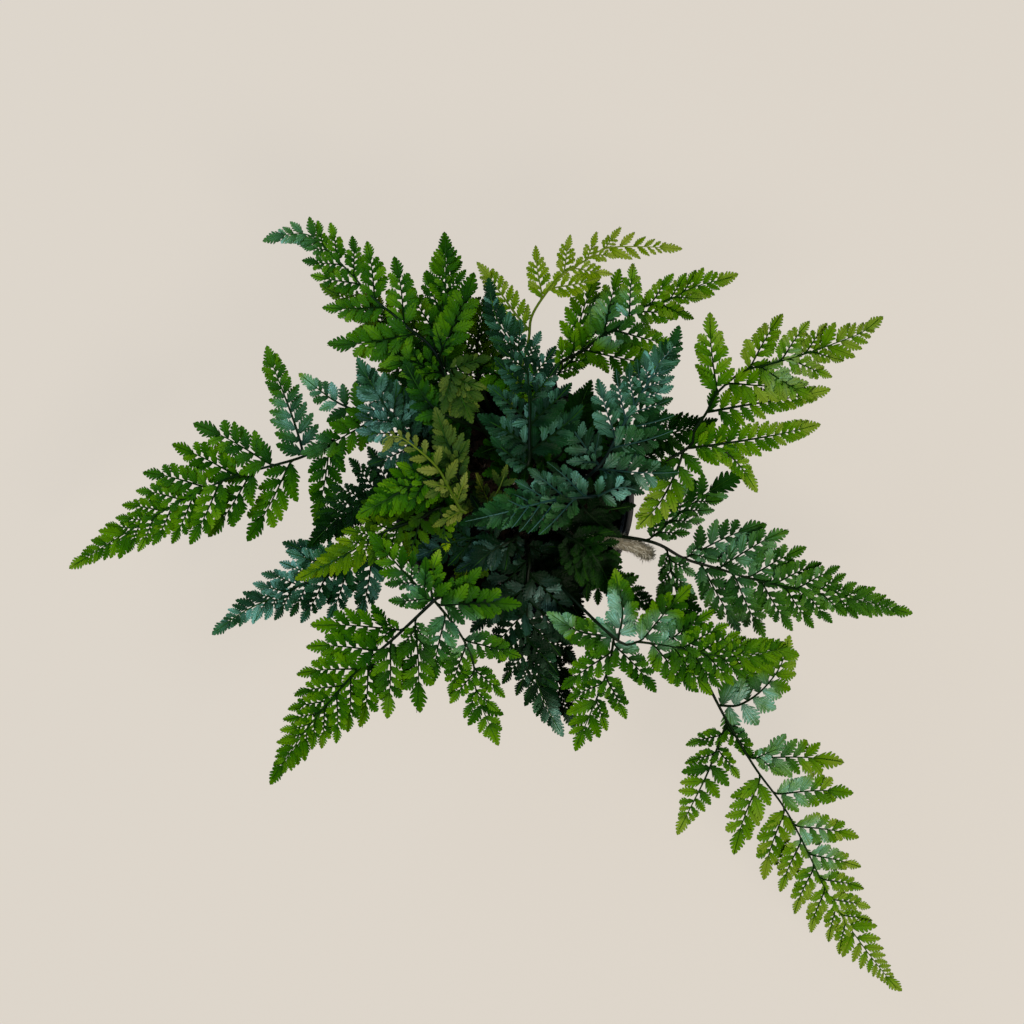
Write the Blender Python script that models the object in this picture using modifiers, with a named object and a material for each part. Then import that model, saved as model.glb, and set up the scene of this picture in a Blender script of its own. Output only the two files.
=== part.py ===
"""Potted rabbit's foot fern: a round nursery pot, potting soil, creeping rhizomes and the fronds.

Metres, +Z up. The origin is the middle of the pot's underside, +X is the plant's right and +Y its
back as it is seen from above. Routes and sizes below are in millimetres and turned into metres by MM.
"""

import bpy
import bmesh
import math
from mathutils import Vector

MM = 0.001

# The pot, in millimetres
POT_HEIGHT = 88.0
POT_TOP_RADIUS = 55.0
POT_FOOT_RADIUS = 39.0
POT_WALL = 1.4
POT_FLOOR = 2.0
RIM_DEPTH = 11.0
RIM_STEP = 1.8
RIM_TAPER = 0.6
LIP_OUT = 1.6
LIP_DEPTH = 2.2
FOOT_BEVEL = 1.2
FOOT_BEVEL_HEIGHT = 4.0
POT_SIDES = 32
SHARP_ANGLE = 35.0
DRAIN_HOLES = 8
DRAIN_RADIUS = 3.6
DRAIN_RING = 28.0
DRAIN_SIDES = 8

# The soil
SOIL_TOP = 77.0
SOIL_GAP = 0.3
SOIL_EDGE = 3.0
SOIL_EDGE_DROP = 1.5

# The rhizomes: thick creeping stems that lie on the soil
RHIZOME_RADIUS = 4.0
RHIZOME_ROUNDNESS = 2
RHIZOME_STEP = 7.0
RHIZOME_END = 0.7
RHIZOME_END_SWELL = 4.0
RHIZOME_TIP = 0.45
RHIZOME_TIP_SWELL = 3.5
FOOT_RADIUS = 1.7
FOOT_FLARE = 1.3
FOOT_HEIGHT = 2.6
FOOT_SUNK = 0.8
FOOT_SIDES = 6
SEAT_GAP = 0.3

# The fronds' shared form
RIB_WIDTH_BASE = 2.0
RIB_WIDTH_TIP = 1.0
RIB_THICKNESS = 1.7
BLADE_THICKNESS = 0.7
STEM_STATIONS = 4
STEM_STRETCH = 3.0
STEM_CROWDING = 1.25
STEM_JOINT_ROOM = 2.5
RIB_SAG = 0.5  # more than this and a straight edge is cut in two at a bend
BARE_ABOVE_FOOT = 2.0
LEAFLET_RATIO = 0.4
LEAFLET_WIDTH = 0.41
LEAFLET_SHRINK = 0.77
LEAFLET_STAGGER = 0.11
LEAFLET_FOOT = 2.2
LEAFLET_FOOT_SHARE = 0.07
LEAFLET_BEND = 0.12
LONGEST_LEAFLET = 60.0
WIDEST_AT = 0.3
WIDTH_AT_FOOT = 0.55
WIDTH_RISE = 1.2
WIDTH_AT_WIDEST = 1.12
WIDTH_FALL = 1.35
LOBE_LENGTH = 17.0
LOBE_LEAN = 0.8
END_LOBE = 0.7
PLAIN_BELOW = 13.0
PLAIN_WIDEST_NEAR = 0.5
PLAIN_WIDEST_FAR = 0.55
VALLEY_SHARE = 0.5
TIP_LENGTH = 23.0
SHORT_TIP = 0.42
TIP_WIDEST = 0.45
TIP_WIDTH = 0.22
LEAFLET_ANGLE_BASE = 62.0
LEAFLET_ANGLE_TIP = 38.0
LEAFLET_DROOP = 0.0012
ARM_DIP = 3.5
ARM_DIP_EASE = 5.0
ARM_WIDE = 0.75
ARM_BARE = 0.14

# The crown: each level of fronds lies on a shallow dome, and the domes are nested a step apart
CROWN_FOOT = 96.0
CROWN_STEP = 7.5
CROWN_FALL = 0.45
CROWN_EASE = 150.0
STEM_ARCH = 2.2

# Where each rhizome creeps, seen from above, from its inner end to its growing tip
RHIZOMES = {
    "rhizome_left_back": [(-11, 9), (-21, 17), (-32, 22), (-43, 27)],
    "rhizome_back": [(-3, 14), (-7, 25), (-9, 36), (-15, 46)],
    "rhizome_right_back": [(9, 11), (15, 21), (23, 30), (32, 38)],
    "rhizome_right": [(14, 0), (25, 3), (37, 2), (47, 8)],
    "rhizome_over_rim": [(11, -10), (23, -12), (36, -16), (47, -19), (56, -22), (62, -25), (64, -26)],
    "rhizome_front": [(2, -15), (8, -25), (9, -36), (14, -46)],
    "rhizome_left_front": [(-8, -12), (-13, -22), (-20, -31), (-28, -39)],
    "rhizome_left": [(-14, -2), (-25, -6), (-36, -8), (-48, -13)],
}
# Heights of the middle of the one rhizome that leaves the pot, point by point
OVER_RIM_HEIGHTS = [81.4, 81.7, 86.0, 92.5, 94.5, 89.5, 78.0]

# Each frond: the rhizome it grows from, how far along it, its level in the crown, then the route of
# its rib seen from above, from the foot of the blade to the tip. "arms" are leaflets so large that
# they are cut like small fronds, "stem" is where a bare stem goes first, "first" is the route
# point where its leaflets start, "wide" changes how long they are and "longest" holds them back.
# "tint" is the finish of a frond that isn't plain green.
FRONDS = {
    "frond_left_long": dict(
        root=("rhizome_left_back", 0.85), level=3, longest=44,
        route=[(-66, 39), (-84, 30), (-98, 20), (-130, 11), (-153, 1), (-182, -15), (-212, -33)],
        arms=[[(-98, 20), (-104, 39), (-117, 72)]]),
    "frond_upper_left": dict(
        root=("rhizome_left_back", 0.45), level=5,
        route=[(-34, 63), (-51, 81), (-65, 93), (-77, 106), (-88, 117), (-98, 124), (-118, 122)]),
    "frond_upper_left_under": dict(
        root=("rhizome_back", 0.95), level=2, tint="lime",
        route=[(-42, 65), (-56, 77), (-72, 90), (-92, 101)]),
    "frond_top": dict(
        root=("rhizome_back", 0.62), level=4, wide=1.15,
        route=[(-36, 62), (-37, 69), (-35, 79), (-32, 93), (-32, 125)]),
    "frond_top_under": dict(
        root=("rhizome_back", 0.78), level=2, tint="lime",
        route=[(-17, 60), (-17, 72), (-15, 86), (-9, 98)]),
    "frond_top_young": dict(
        root=("rhizome_back", 0.3), level=4, tint="lime", wide=0.85, first=2,
        route=[(7, 75), (8, 84), (13, 93), (22, 104), (33, 111), (43, 117), (59, 118), (79, 117)],
        arms=[[(7, 78), (0, 87), (-9, 100), (-17, 111)]]),
    "frond_upper_right": dict(
        root=("rhizome_right_back", 0.75), level=3,
        route=[(19, 59), (32, 69), (40, 75), (50, 81), (59, 89), (72, 93), (86, 100), (106, 105)]),
    "frond_centre_top": dict(
        root=("rhizome_back", 0.02), level=9, tint="teal",
        route=[(6, 15), (7, 26), (7, 44), (5, 62), (-4, 75), (-9, 85), (-12, 101)]),
    "frond_right_inner": dict(
        root=("rhizome_right_back", 0.1), level=5, tint="dark",
        route=[(21, 20), (27, 34), (32, 46), (36, 55)]),
    "frond_right_steep": dict(
        root=("rhizome_right", 0.3), level=7, tint="teal",
        route=[(39, 15), (48, 30), (58, 47), (66, 61), (74, 71), (76, 80)],
        arms=[[(39, 15), (31, 26), (20, 42)]]),
    "frond_right_under": dict(
        root=("rhizome_right", 0.95), level=2, tint="dark",
        route=[(54, 23), (63, 28), (78, 32), (96, 37)]),
    "frond_right_broad": dict(
        root=("rhizome_right", 0.65), level=6, first=3,
        route=[(78, 22), (83, 31), (89, 40), (94, 49), (106, 59), (117, 62), (134, 67), (148, 72),
               (163, 78), (173, 86)],
        arms=[[(79, 22), (75, 13), (67, -2), (56, -14)],
              [(80, 24), (100, 26), (123, 30), (143, 35)],
              [(89, 40), (105, 43), (128, 47), (148, 51)]]),
    "frond_right_low": dict(
        root=("rhizome_over_rim", 0.35), level=2,
        route=[(64, -20), (80, -28), (97, -33), (110, -37), (135, -43), (164, -48), (190, -55)]),
    "frond_centre_across": dict(
        root=("rhizome_right", 0.12), level=8, tint="teal",
        route=[(38, 1), (23, 0), (12, -2), (-7, -7), (-25, -11)],
        arms=[[(38, 2), (48, 5), (60, 3)]]),
    "frond_trailing": dict(
        root=("rhizome_over_rim", 0.22), level=3, wide=0.87,
        route=[(87, -79), (91, -87), (100, -104), (114, -127), (128, -146), (139, -166),
               (151, -190), (168, -215), (187, -239)]),
    "frond_lower_right": dict(
        root=("rhizome_front", 0.4), level=6, first=1,
        route=[(46, -64), (58, -66), (72, -68), (90, -72), (106, -73), (124, -70), (133, -73)],
        arms=[[(47, -65), (50, -51), (46, -32)],
              [(45, -64), (30, -61), (15, -52)],
              [(46, -65), (44, -77), (38, -93), (28, -117)]]),
    "frond_lower_right_small": dict(
        root=("rhizome_over_rim", 0.1), level=3, tint="dark",
        wide=0.8, route=[(41, -37), (52, -42), (61, -48), (72, -53)]),
    "frond_lower_right_inner": dict(
        root=("rhizome_over_rim", 0.02), level=4, tint="dark",
        route=[(31, -21), (38, -28), (43, -37), (47, -47)]),
    "frond_bottom": dict(
        root=("rhizome_front", 0.15), level=4, tint="teal",
        route=[(7, -29), (6, -42), (6, -53), (7, -72), (14, -94), (23, -111)]),
    "frond_bottom_under": dict(
        root=("rhizome_front", 0.95), level=2, tint="dark", wide=0.8,
        route=[(15, -66), (17, -73), (21, -89), (28, -108)]),
    "frond_lower_left": dict(
        root=("rhizome_left_front", 0.75), level=7,
        route=[(-38, -48), (-55, -64), (-70, -77), (-82, -90), (-97, -108), (-114, -133)],
        arms=[[(-36, -47), (-26, -60), (-19, -74), (-17, -90), (-7, -114)],
              [(-38, -47), (-50, -34), (-67, -15)],
              [(-35, -46), (-24, -41), (-15, -31)]]),
    "frond_left_teal": dict(
        root=("rhizome_left", 0.9), level=2, tint="teal",
        route=[(-66, -26), (-83, -34), (-99, -40), (-115, -47), (-129, -54), (-143, -64)],
        arms=[[(-76, -30), (-91, -27), (-109, -20)]]),
    "frond_left_lime": dict(
        root=("rhizome_left", 0.35), level=6, tint="lime", wide=0.85,
        route=[(-34, -4), (-43, -9), (-61, -16), (-78, -26), (-101, -38)]),
    "frond_left_dark": dict(
        root=("rhizome_left", 0.65), level=4, tint="dark",
        route=[(-60, 1), (-71, -1), (-83, -10), (-96, -23)]),
    "frond_left_bright": dict(
        root=("rhizome_left_back", 0.2), level=7,
        route=[(-36, 9), (-48, 5), (-59, -1), (-73, -8)]),
    "frond_left_upright": dict(
        root=("rhizome_left_back", 0.62), level=6, tint="teal",
        route=[(-45, 26), (-56, 38), (-65, 52), (-73, 65)]),
    "frond_left_small": dict(
        root=("rhizome_back", 0.45), level=7,
        wide=0.85, route=[(-34, 40), (-43, 50), (-51, 64)]),
    "frond_centre_folded": dict(
        root=("rhizome_back", 0.15), level=8, tint="olive", stem=[(-22, 44), (-31, 56)],
        route=[(-31, 60), (-28, 56), (-25, 49), (-19, 34)]),
    "frond_centre_olive": dict(
        root=("rhizome_left_back", 0.02), level=8, tint="olive",
        route=[(-24, 8), (-27, 18), (-31, 27), (-34, 36), (-36, 42)]),
    "frond_centre_young": dict(
        root=("rhizome_left", 0.12), level=9, tint="olive", wide=0.7,
        route=[(-23, -6), (-29, 4), (-34, 13), (-42, 21), (-52, 28), (-59, 27), (-60, 21)]),
    "frond_centre_lime": dict(
        root=("rhizome_left_front", 0.2), level=5, tint="lime",
        route=[(-15, -21), (-19, -28), (-23, -36), (-27, -43)]),
    "frond_centre_curl": dict(
        root=("rhizome_left_front", 0.02), level=6, tint="olive",
        route=[(-12, -4), (-8, 2), (-5, 9), (-3, 16)]),
    "frond_centre_under": dict(
        root=("rhizome_front", 0.02), level=6, tint="teal",
        route=[(-1, -19), (-7, -22), (-14, -27), (-21, -34)]),
    "frond_front_dark": dict(
        root=("rhizome_front", 0.7), level=2, tint="dark",
        route=[(16, -38), (22, -43), (28, -51), (33, -60)]),
    "frond_right_dark": dict(
        root=("rhizome_right", 0.45), level=3, tint="dark",
        route=[(32, -4), (37, -9), (43, -14), (50, -18)]),
    "frond_back_green": dict(
        root=("rhizome_right_back", 0.4), level=3,
        route=[(15, 27), (14, 35), (13, 43), (11, 52)]),
    "frond_left_back_dark": dict(
        root=("rhizome_left_back", 0.32), level=3, tint="dark",
        route=[(-30, 28), (-37, 36), (-44, 44), (-52, 52)]),
}

# Colours, roughness and metallic value of each finish
FINISHES = {
    "pot": ((0.012, 0.012, 0.013), 0.55, 0.0),
    "soil": ((0.035, 0.022, 0.014), 0.95, 0.0),
    "rhizome": ((0.36, 0.31, 0.24), 0.9, 0.0),
    "frond_green": ((0.055, 0.17, 0.015), 0.45, 0.0),
    "frond_teal": ((0.045, 0.13, 0.095), 0.4, 0.0),
    "frond_lime": ((0.25, 0.36, 0.022), 0.45, 0.0),
    "frond_olive": ((0.14, 0.17, 0.03), 0.5, 0.0),
    "frond_dark": ((0.015, 0.05, 0.012), 0.45, 0.0),
}


def clear_scene():
    for old in list(bpy.data.objects):
        bpy.data.objects.remove(old, do_unlink=True)


def new_collection(name):
    collection = bpy.data.collections.new(name)
    bpy.context.scene.collection.children.link(collection)
    return collection


def finish(name):
    """The material of one finish, made once."""
    if name in bpy.data.materials:
        return bpy.data.materials[name]
    colour, roughness, metallic = FINISHES[name]
    material = bpy.data.materials.new(name)
    material.use_nodes = True
    shader = material.node_tree.nodes["Principled BSDF"]
    shader.inputs["Base Color"].default_value = (*colour, 1.0)
    shader.inputs["Roughness"].default_value = roughness
    shader.inputs["Metallic"].default_value = metallic
    return material


def add_object(name, bm, collection, material=None):
    """An object from a bmesh in millimetres."""
    bmesh.ops.scale(bm, vec=(MM, MM, MM), verts=bm.verts)
    mesh = bpy.data.meshes.new(name)
    bm.to_mesh(mesh)
    bm.free()
    obj = bpy.data.objects.new(name, mesh)
    collection.objects.link(obj)
    if material:
        mesh.materials.append(finish(material))
    return obj


def apply_modifiers(obj):
    """Replaces the object's mesh by what its modifiers make."""
    graph = bpy.context.evaluated_depsgraph_get()
    made = bpy.data.meshes.new_from_object(obj.evaluated_get(graph))
    obj.modifiers.clear()
    old = obj.data
    obj.data = made
    bpy.data.meshes.remove(old)


def boolean(obj, operation, other=None, others=None, solver="EXACT"):
    """Joins or cuts the object with another one, or with all of a collection, and applies it."""
    modifier = obj.modifiers.new(operation.lower(), "BOOLEAN")
    modifier.operation = operation
    modifier.solver = solver
    if other is not None:
        modifier.object = other
    else:
        modifier.operand_type = "COLLECTION"
        modifier.collection = others
    apply_modifiers(obj)


def turned(name, profile, collection, material):
    """A solid turned about Z from a closed profile of (radius, height) points, top to bottom outside."""
    bm = bmesh.new()
    verts = [bm.verts.new((radius, 0.0, height)) for radius, height in profile]
    for first, second in zip(verts, verts[1:]):
        bm.edges.new((first, second))
    obj = add_object(name, bm, collection, material)
    screw = obj.modifiers.new("turn", "SCREW")
    screw.steps = POT_SIDES
    screw.render_steps = POT_SIDES
    screw.use_merge_vertices = True
    screw.merge_threshold = 0.0001
    apply_modifiers(obj)
    obj.data.shade_smooth()
    obj.data.set_sharp_from_angle(angle=math.radians(SHARP_ANGLE))
    return obj


def pot_outer_radius(height):
    share = height / (POT_HEIGHT - RIM_DEPTH)
    return POT_FOOT_RADIUS + (POT_TOP_RADIUS - RIM_STEP - POT_FOOT_RADIUS) * share


def make_pot(collection, cutters):
    """Nursery pot: tapered thin wall, stepped rim band with a rolled lip, and a ring of drain holes."""
    band_foot = POT_HEIGHT - RIM_DEPTH
    step_radius = pot_outer_radius(band_foot)
    profile = [
        (POT_TOP_RADIUS - POT_WALL, POT_HEIGHT),
        (POT_TOP_RADIUS + LIP_OUT, POT_HEIGHT),
        (POT_TOP_RADIUS + LIP_OUT, POT_HEIGHT - LIP_DEPTH),
        (POT_TOP_RADIUS, POT_HEIGHT - LIP_DEPTH - RIM_TAPER),
        (POT_TOP_RADIUS - RIM_TAPER, band_foot),
        (step_radius, band_foot - RIM_TAPER),
        (POT_FOOT_RADIUS + FOOT_BEVEL, FOOT_BEVEL_HEIGHT),
        (POT_FOOT_RADIUS, 0.0),
        (0.0, 0.0),
        (0.0, POT_FLOOR),
        (POT_FOOT_RADIUS - POT_WALL, POT_FLOOR),
        (step_radius - POT_WALL, band_foot),
        (POT_TOP_RADIUS - RIM_TAPER - POT_WALL, band_foot + RIM_TAPER),
        (POT_TOP_RADIUS - POT_WALL, POT_HEIGHT),
    ]
    pot = turned("pot", profile, collection, "pot")
    bm = bmesh.new()
    for index in range(DRAIN_HOLES):
        turn = 2 * math.pi * index / DRAIN_HOLES
        made = bmesh.ops.create_cone(bm, cap_ends=True, segments=DRAIN_SIDES, radius1=DRAIN_RADIUS,
                                     radius2=DRAIN_RADIUS, depth=POT_FLOOR * 4)
        place = Vector((DRAIN_RING * math.cos(turn), DRAIN_RING * math.sin(turn), POT_FLOOR / 2))
        bmesh.ops.translate(bm, verts=made["verts"], vec=place)
    holes = add_object("drain_holes", bm, cutters)
    holes.hide_render = True
    holes.display_type = "WIRE"
    boolean(pot, "DIFFERENCE", other=holes)
    return pot


def make_soil(collection):
    """Potting soil: it fills the pot from its floor to a little below the rim."""
    inner_foot = POT_FOOT_RADIUS - POT_WALL - 2 * SOIL_GAP
    inner_top = pot_outer_radius(POT_HEIGHT - RIM_DEPTH) - POT_WALL - 2 * SOIL_GAP
    profile = [
        (0.0, SOIL_TOP),
        (inner_top - SOIL_EDGE, SOIL_TOP),
        (inner_top, SOIL_TOP - SOIL_EDGE_DROP),
        (inner_foot, POT_FLOOR + SOIL_GAP),
        (0.0, POT_FLOOR + SOIL_GAP),
    ]
    return turned("soil", profile, collection, "soil")


def smooth_route(points, step=1.0):
    """A Catmull-Rom curve through the points, as a polyline with a point about every step."""
    points = [Vector(point) for point in points]
    before = points[0] * 2 - points[1]
    after = points[-1] * 2 - points[-2]
    padded = [before] + points + [after]
    curve = []
    for index in range(1, len(padded) - 2):
        p0, p1, p2, p3 = padded[index - 1:index + 3]
        count = max(2, round((p2 - p1).length / step))
        for part in range(count):
            t = part / count
            curve.append(0.5 * (2 * p1 + (p2 - p0) * t + (2 * p0 - 5 * p1 + 4 * p2 - p3) * t * t
                                + (3 * p1 - p0 - 3 * p2 + p3) * t ** 3))
    curve.append(points[-1].copy())
    return curve


class Path:
    """A polyline that is read by the distance along it."""

    def __init__(self, points):
        self.points = points
        self.marks = [0.0]
        for first, second in zip(points, points[1:]):
            self.marks.append(self.marks[-1] + (second - first).length)
        self.length = self.marks[-1]

    def at(self, distance):
        distance = min(max(distance, 0.0), self.length)
        index = 0
        while index < len(self.marks) - 2 and self.marks[index + 1] < distance:
            index += 1
        span = self.marks[index + 1] - self.marks[index]
        return self.points[index].lerp(self.points[index + 1], (distance - self.marks[index]) / span)

    def heading(self, distance, reach=2.0):
        """The unit direction along the path near a distance."""
        ahead = self.at(distance + reach)
        behind = self.at(distance - reach)
        return (ahead - behind).normalized()

    def nearest(self, point):
        gaps = [(mark_point - point).length for mark_point in self.points]
        return self.marks[gaps.index(min(gaps))]


def rhizome_points(name):
    """The middle line of a rhizome, in three dimensions."""
    route = RHIZOMES[name]
    lying = SOIL_TOP + SEAT_GAP + RHIZOME_RADIUS
    heights = [lying] * len(route)
    if name == "rhizome_over_rim":
        heights = OVER_RIM_HEIGHTS
    return [(x, y, z) for (x, y), z in zip(route, heights)]


def rhizome_path(name):
    return Path(smooth_route(rhizome_points(name)))


def foot_top(name, share):
    """Where a frond's stem meets its foot on the rhizome."""
    path = rhizome_path(name)
    return path.at(share * path.length) + Vector((0, 0, RHIZOME_RADIUS + FOOT_HEIGHT))


def make_rhizome(name, collection, scraps):
    """One creeping stem: a tapered tube, with a short foot for each frond that grows from it."""
    path = rhizome_path(name)
    count = max(4, round(path.length / RHIZOME_STEP))
    curve = bpy.data.curves.new(name, "CURVE")
    curve.dimensions = "3D"
    curve.bevel_depth = RHIZOME_RADIUS * MM
    curve.bevel_resolution = RHIZOME_ROUNDNESS
    curve.use_fill_caps = True
    spline = curve.splines.new("POLY")
    spline.points.add(count)
    for index, point in enumerate(spline.points):
        share = index / count
        point.co = (*(path.at(share * path.length) * MM), 1.0)
        inner_end = RHIZOME_END + share * RHIZOME_END_SWELL
        growing_tip = RHIZOME_TIP + (1 - share) * RHIZOME_TIP_SWELL
        point.radius = min(1.0, inner_end, growing_tip)
    guide = bpy.data.objects.new(name + "_guide", curve)
    scraps.objects.link(guide)
    graph = bpy.context.evaluated_depsgraph_get()
    mesh = bpy.data.meshes.new_from_object(guide.evaluated_get(graph))
    bm = bmesh.new()
    bm.from_mesh(mesh)
    bmesh.ops.remove_doubles(bm, verts=bm.verts, dist=0.00001)
    bm.to_mesh(mesh)
    bm.free()
    mesh.name = name
    rhizome = bpy.data.objects.new(name, mesh)
    collection.objects.link(rhizome)
    mesh.materials.append(finish("rhizome"))
    bpy.data.objects.remove(guide, do_unlink=True)

    feet = bpy.data.collections.new(name + "_feet")
    bpy.context.scene.collection.children.link(feet)
    for frond in FRONDS.values():
        grows_from, share = frond["root"]
        if grows_from != name:
            continue
        top = foot_top(name, share)
        bm = bmesh.new()
        deep = RHIZOME_RADIUS * FOOT_SUNK + FOOT_HEIGHT
        bmesh.ops.create_cone(bm, cap_ends=True, segments=FOOT_SIDES, radius1=FOOT_RADIUS * FOOT_FLARE,
                              radius2=FOOT_RADIUS, depth=deep)
        bmesh.ops.translate(bm, verts=bm.verts, vec=top - Vector((0, 0, deep / 2)))
        add_object("foot", bm, feet)
    if feet.objects:
        boolean(rhizome, "UNION", others=feet)
    for foot in list(feet.objects):
        bpy.data.objects.remove(foot, do_unlink=True)
    bpy.data.collections.remove(feet)
    return rhizome


def crown_height(level, x, y):
    """The height of a level's dome over a place in the plan."""
    out = math.hypot(x, y)
    return CROWN_FOOT + CROWN_STEP * level - CROWN_FALL * out * out / (out + CROWN_EASE)


class Rib:
    """The middle line of a frond or of an arm: a route in plan, with a height along it."""

    def __init__(self, route, level, root_height=None, blade_foot=None, start_height=None):
        self.path = Path(smooth_route([(x, y, 0.0) for x, y in route]))
        self.level = level
        self.root_height = root_height
        self.start_height = start_height
        self.foot = 0.0 if blade_foot is None else self.path.nearest(Vector((*blade_foot, 0.0)))
        self.length = self.path.length

    def height(self, distance):
        place = self.path.at(distance)
        dome = crown_height(self.level, place.x, place.y)
        if self.start_height is not None:
            begin = self.path.at(0.0)
            rest = self.start_height - crown_height(self.level, begin.x, begin.y)
            return dome + rest - ARM_DIP * (1 - math.exp(-distance / ARM_DIP_EASE))
        if distance >= self.foot:
            return dome
        left = 1 - distance / self.foot
        return self.root_height + (dome - self.root_height) * (1 - left ** STEM_ARCH)

    def seat(self, reach):
        """Raises the stem's end by what its lower edge hangs below its middle: less for a steep stem."""
        rise = self.height(reach) - self.height(0.0)
        self.root_height += RIB_THICKNESS / 2 * reach / math.hypot(reach, rise)

    def point(self, distance, side=0.0):
        """A point at a distance along, and a distance to the left, of the middle line."""
        place = self.path.at(distance)
        ahead = self.path.heading(distance)
        return Vector((place.x - ahead.y * side, place.y + ahead.x * side, self.height(distance)))

    def over(self, distance, plan):
        """The height of a leaflet's point that belongs to this distance along the rib."""
        place = self.path.at(distance)
        dome_change = crown_height(self.level, plan.x, plan.y) - crown_height(self.level, place.x, place.y)
        out = (plan.xy - place.xy).length
        return self.height(distance) + dome_change - LEAFLET_DROOP * out * out


def rib_width(distance, length):
    share = distance / length
    return RIB_WIDTH_BASE + (RIB_WIDTH_TIP - RIB_WIDTH_BASE) * share


def leaflet_places(rib, first):
    """(distance along, distance left to the tip) of each pair of leaflets, from the blade's foot up."""
    places = []
    left = rib.length - first
    shortest = min(TIP_LENGTH, SHORT_TIP * left)
    while left > shortest:
        places.append((rib.length - left, left))
        left *= LEAFLET_SHRINK
    return places


def half_width(along, width):
    """Half a leaflet's width at a share of its length: widest a third of the way out."""
    if along < WIDEST_AT:
        return width * (WIDTH_AT_FOOT + WIDTH_RISE * along)
    return width * (WIDTH_AT_WIDEST - (along - WIDEST_AT) * WIDTH_FALL)


def add_leaflet(bm, rib, distance, behind, ahead, side, reach, width):
    """One leaflet: a midrib strip with a forward-leaning lobe on both sides of each stretch.

    behind and ahead are its foot's two vertices on the rib's edge. The sheet stays open here.
    """
    share = distance / rib.length
    angle = math.radians(LEAFLET_ANGLE_BASE + (LEAFLET_ANGLE_TIP - LEAFLET_ANGLE_BASE) * share)
    forward = rib.path.heading(distance)
    lean = Vector((-forward.y, forward.x, 0.0)) * side
    out = (forward * math.cos(angle) + lean * math.sin(angle)).normalized()
    across = (forward * math.sin(angle) - lean * math.cos(angle)).normalized()
    start = (behind.co + ahead.co) / 2
    start.z = 0.0
    bend = LEAFLET_BEND * reach

    def place(along, off):
        plan = start + out * (along * reach) + forward * (bend * along * along) + across * off
        plan.z = rib.over(distance, plan)
        return plan

    near, far = behind, ahead
    if reach < PLAIN_BELOW:
        lobe_near = bm.verts.new(place(PLAIN_WIDEST_NEAR, -width))
        lobe_far = bm.verts.new(place(PLAIN_WIDEST_FAR, width))
        tip = bm.verts.new(place(1.0, 0.0))
        add_faces(bm, [(near, lobe_near, tip), (near, tip, far), (far, tip, lobe_far)], side)
        return
    lobes = max(1, round(reach / LOBE_LENGTH))
    for index in range(lobes):
        low = index / (lobes + END_LOBE)
        high = (index + 1) / (lobes + END_LOBE)
        valley = VALLEY_SHARE * half_width(high, width)
        next_near = bm.verts.new(place(high, -valley))
        next_far = bm.verts.new(place(high, valley))
        peak = low + LOBE_LEAN * (high - low)
        full = half_width((low + high) / 2, width)
        lobe_near = bm.verts.new(place(peak, -full))
        lobe_far = bm.verts.new(place(peak, full))
        corners = [(near, next_near, far), (far, next_near, next_far), (near, lobe_near, next_near),
                   (far, next_far, lobe_far)]
        add_faces(bm, corners, side)
        near, far = next_near, next_far
    tip = bm.verts.new(place(1.0, 0.0))
    add_faces(bm, [(near, tip, far)], side)


def add_faces(bm, corners, side):
    """Faces that look up, whichever side of the rib they are on."""
    for one, two, three in corners:
        bm.faces.new((one, two, three) if side < 0 else (one, three, two))


def stem_marks(bare, joints):
    """Distances of the bare stem's cross lines: closer at its bent foot, and one where an arm starts."""
    count = max(1, min(STEM_STATIONS, round(bare / STEM_STRETCH)))
    marks = [bare * (index / count) ** STEM_CROWDING for index in range(count)]
    for joint in joints:
        if joint < bare - RIB_WIDTH_TIP:
            marks = [mark for mark in marks if abs(mark - joint) > STEM_JOINT_ROOM or mark == 0.0]
            marks.append(joint)
    return sorted(marks)


def bend_marks(rib, own, others):
    """A side's distances with those of the other side added where one straight edge would cut a bend."""
    marks = list(own)
    for mark in others:
        behind = max((known for known in marks if known <= mark), default=None)
        ahead = min((known for known in marks if known > mark), default=None)
        if behind is None or ahead is None or behind == mark:
            continue
        start = rib.path.at(behind)
        chord = (rib.path.at(ahead) - start).normalized()
        if (rib.path.at(mark) - start).cross(chord).length > RIB_SAG:
            marks.append(mark)
    return sorted(marks)


def add_rib(bm, rib, chains):
    """The rib's strip between its left and right edges, and the vertices of each edge by distance."""
    edges = []
    for marks, side in zip(chains, (1, -1)):
        halves = [rib_width(max(mark, 0.0), rib.length) / 2 for mark in marks]
        edges.append([bm.verts.new(rib.point(mark, side * half)) for mark, half in zip(marks, halves)])
    left, right = 0, 0
    while left < len(edges[0]) - 1 or right < len(edges[1]) - 1:
        next_left = chains[0][left + 1] if left < len(edges[0]) - 1 else math.inf
        next_right = chains[1][right + 1] if right < len(edges[1]) - 1 else math.inf
        if next_left <= next_right:
            bm.faces.new((edges[0][left], edges[1][right], edges[0][left + 1]))
            left += 1
        else:
            bm.faces.new((edges[0][left], edges[1][right], edges[1][right + 1]))
            right += 1
    return [dict(zip(marks, edge)) for marks, edge in zip(chains, edges)]


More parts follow.
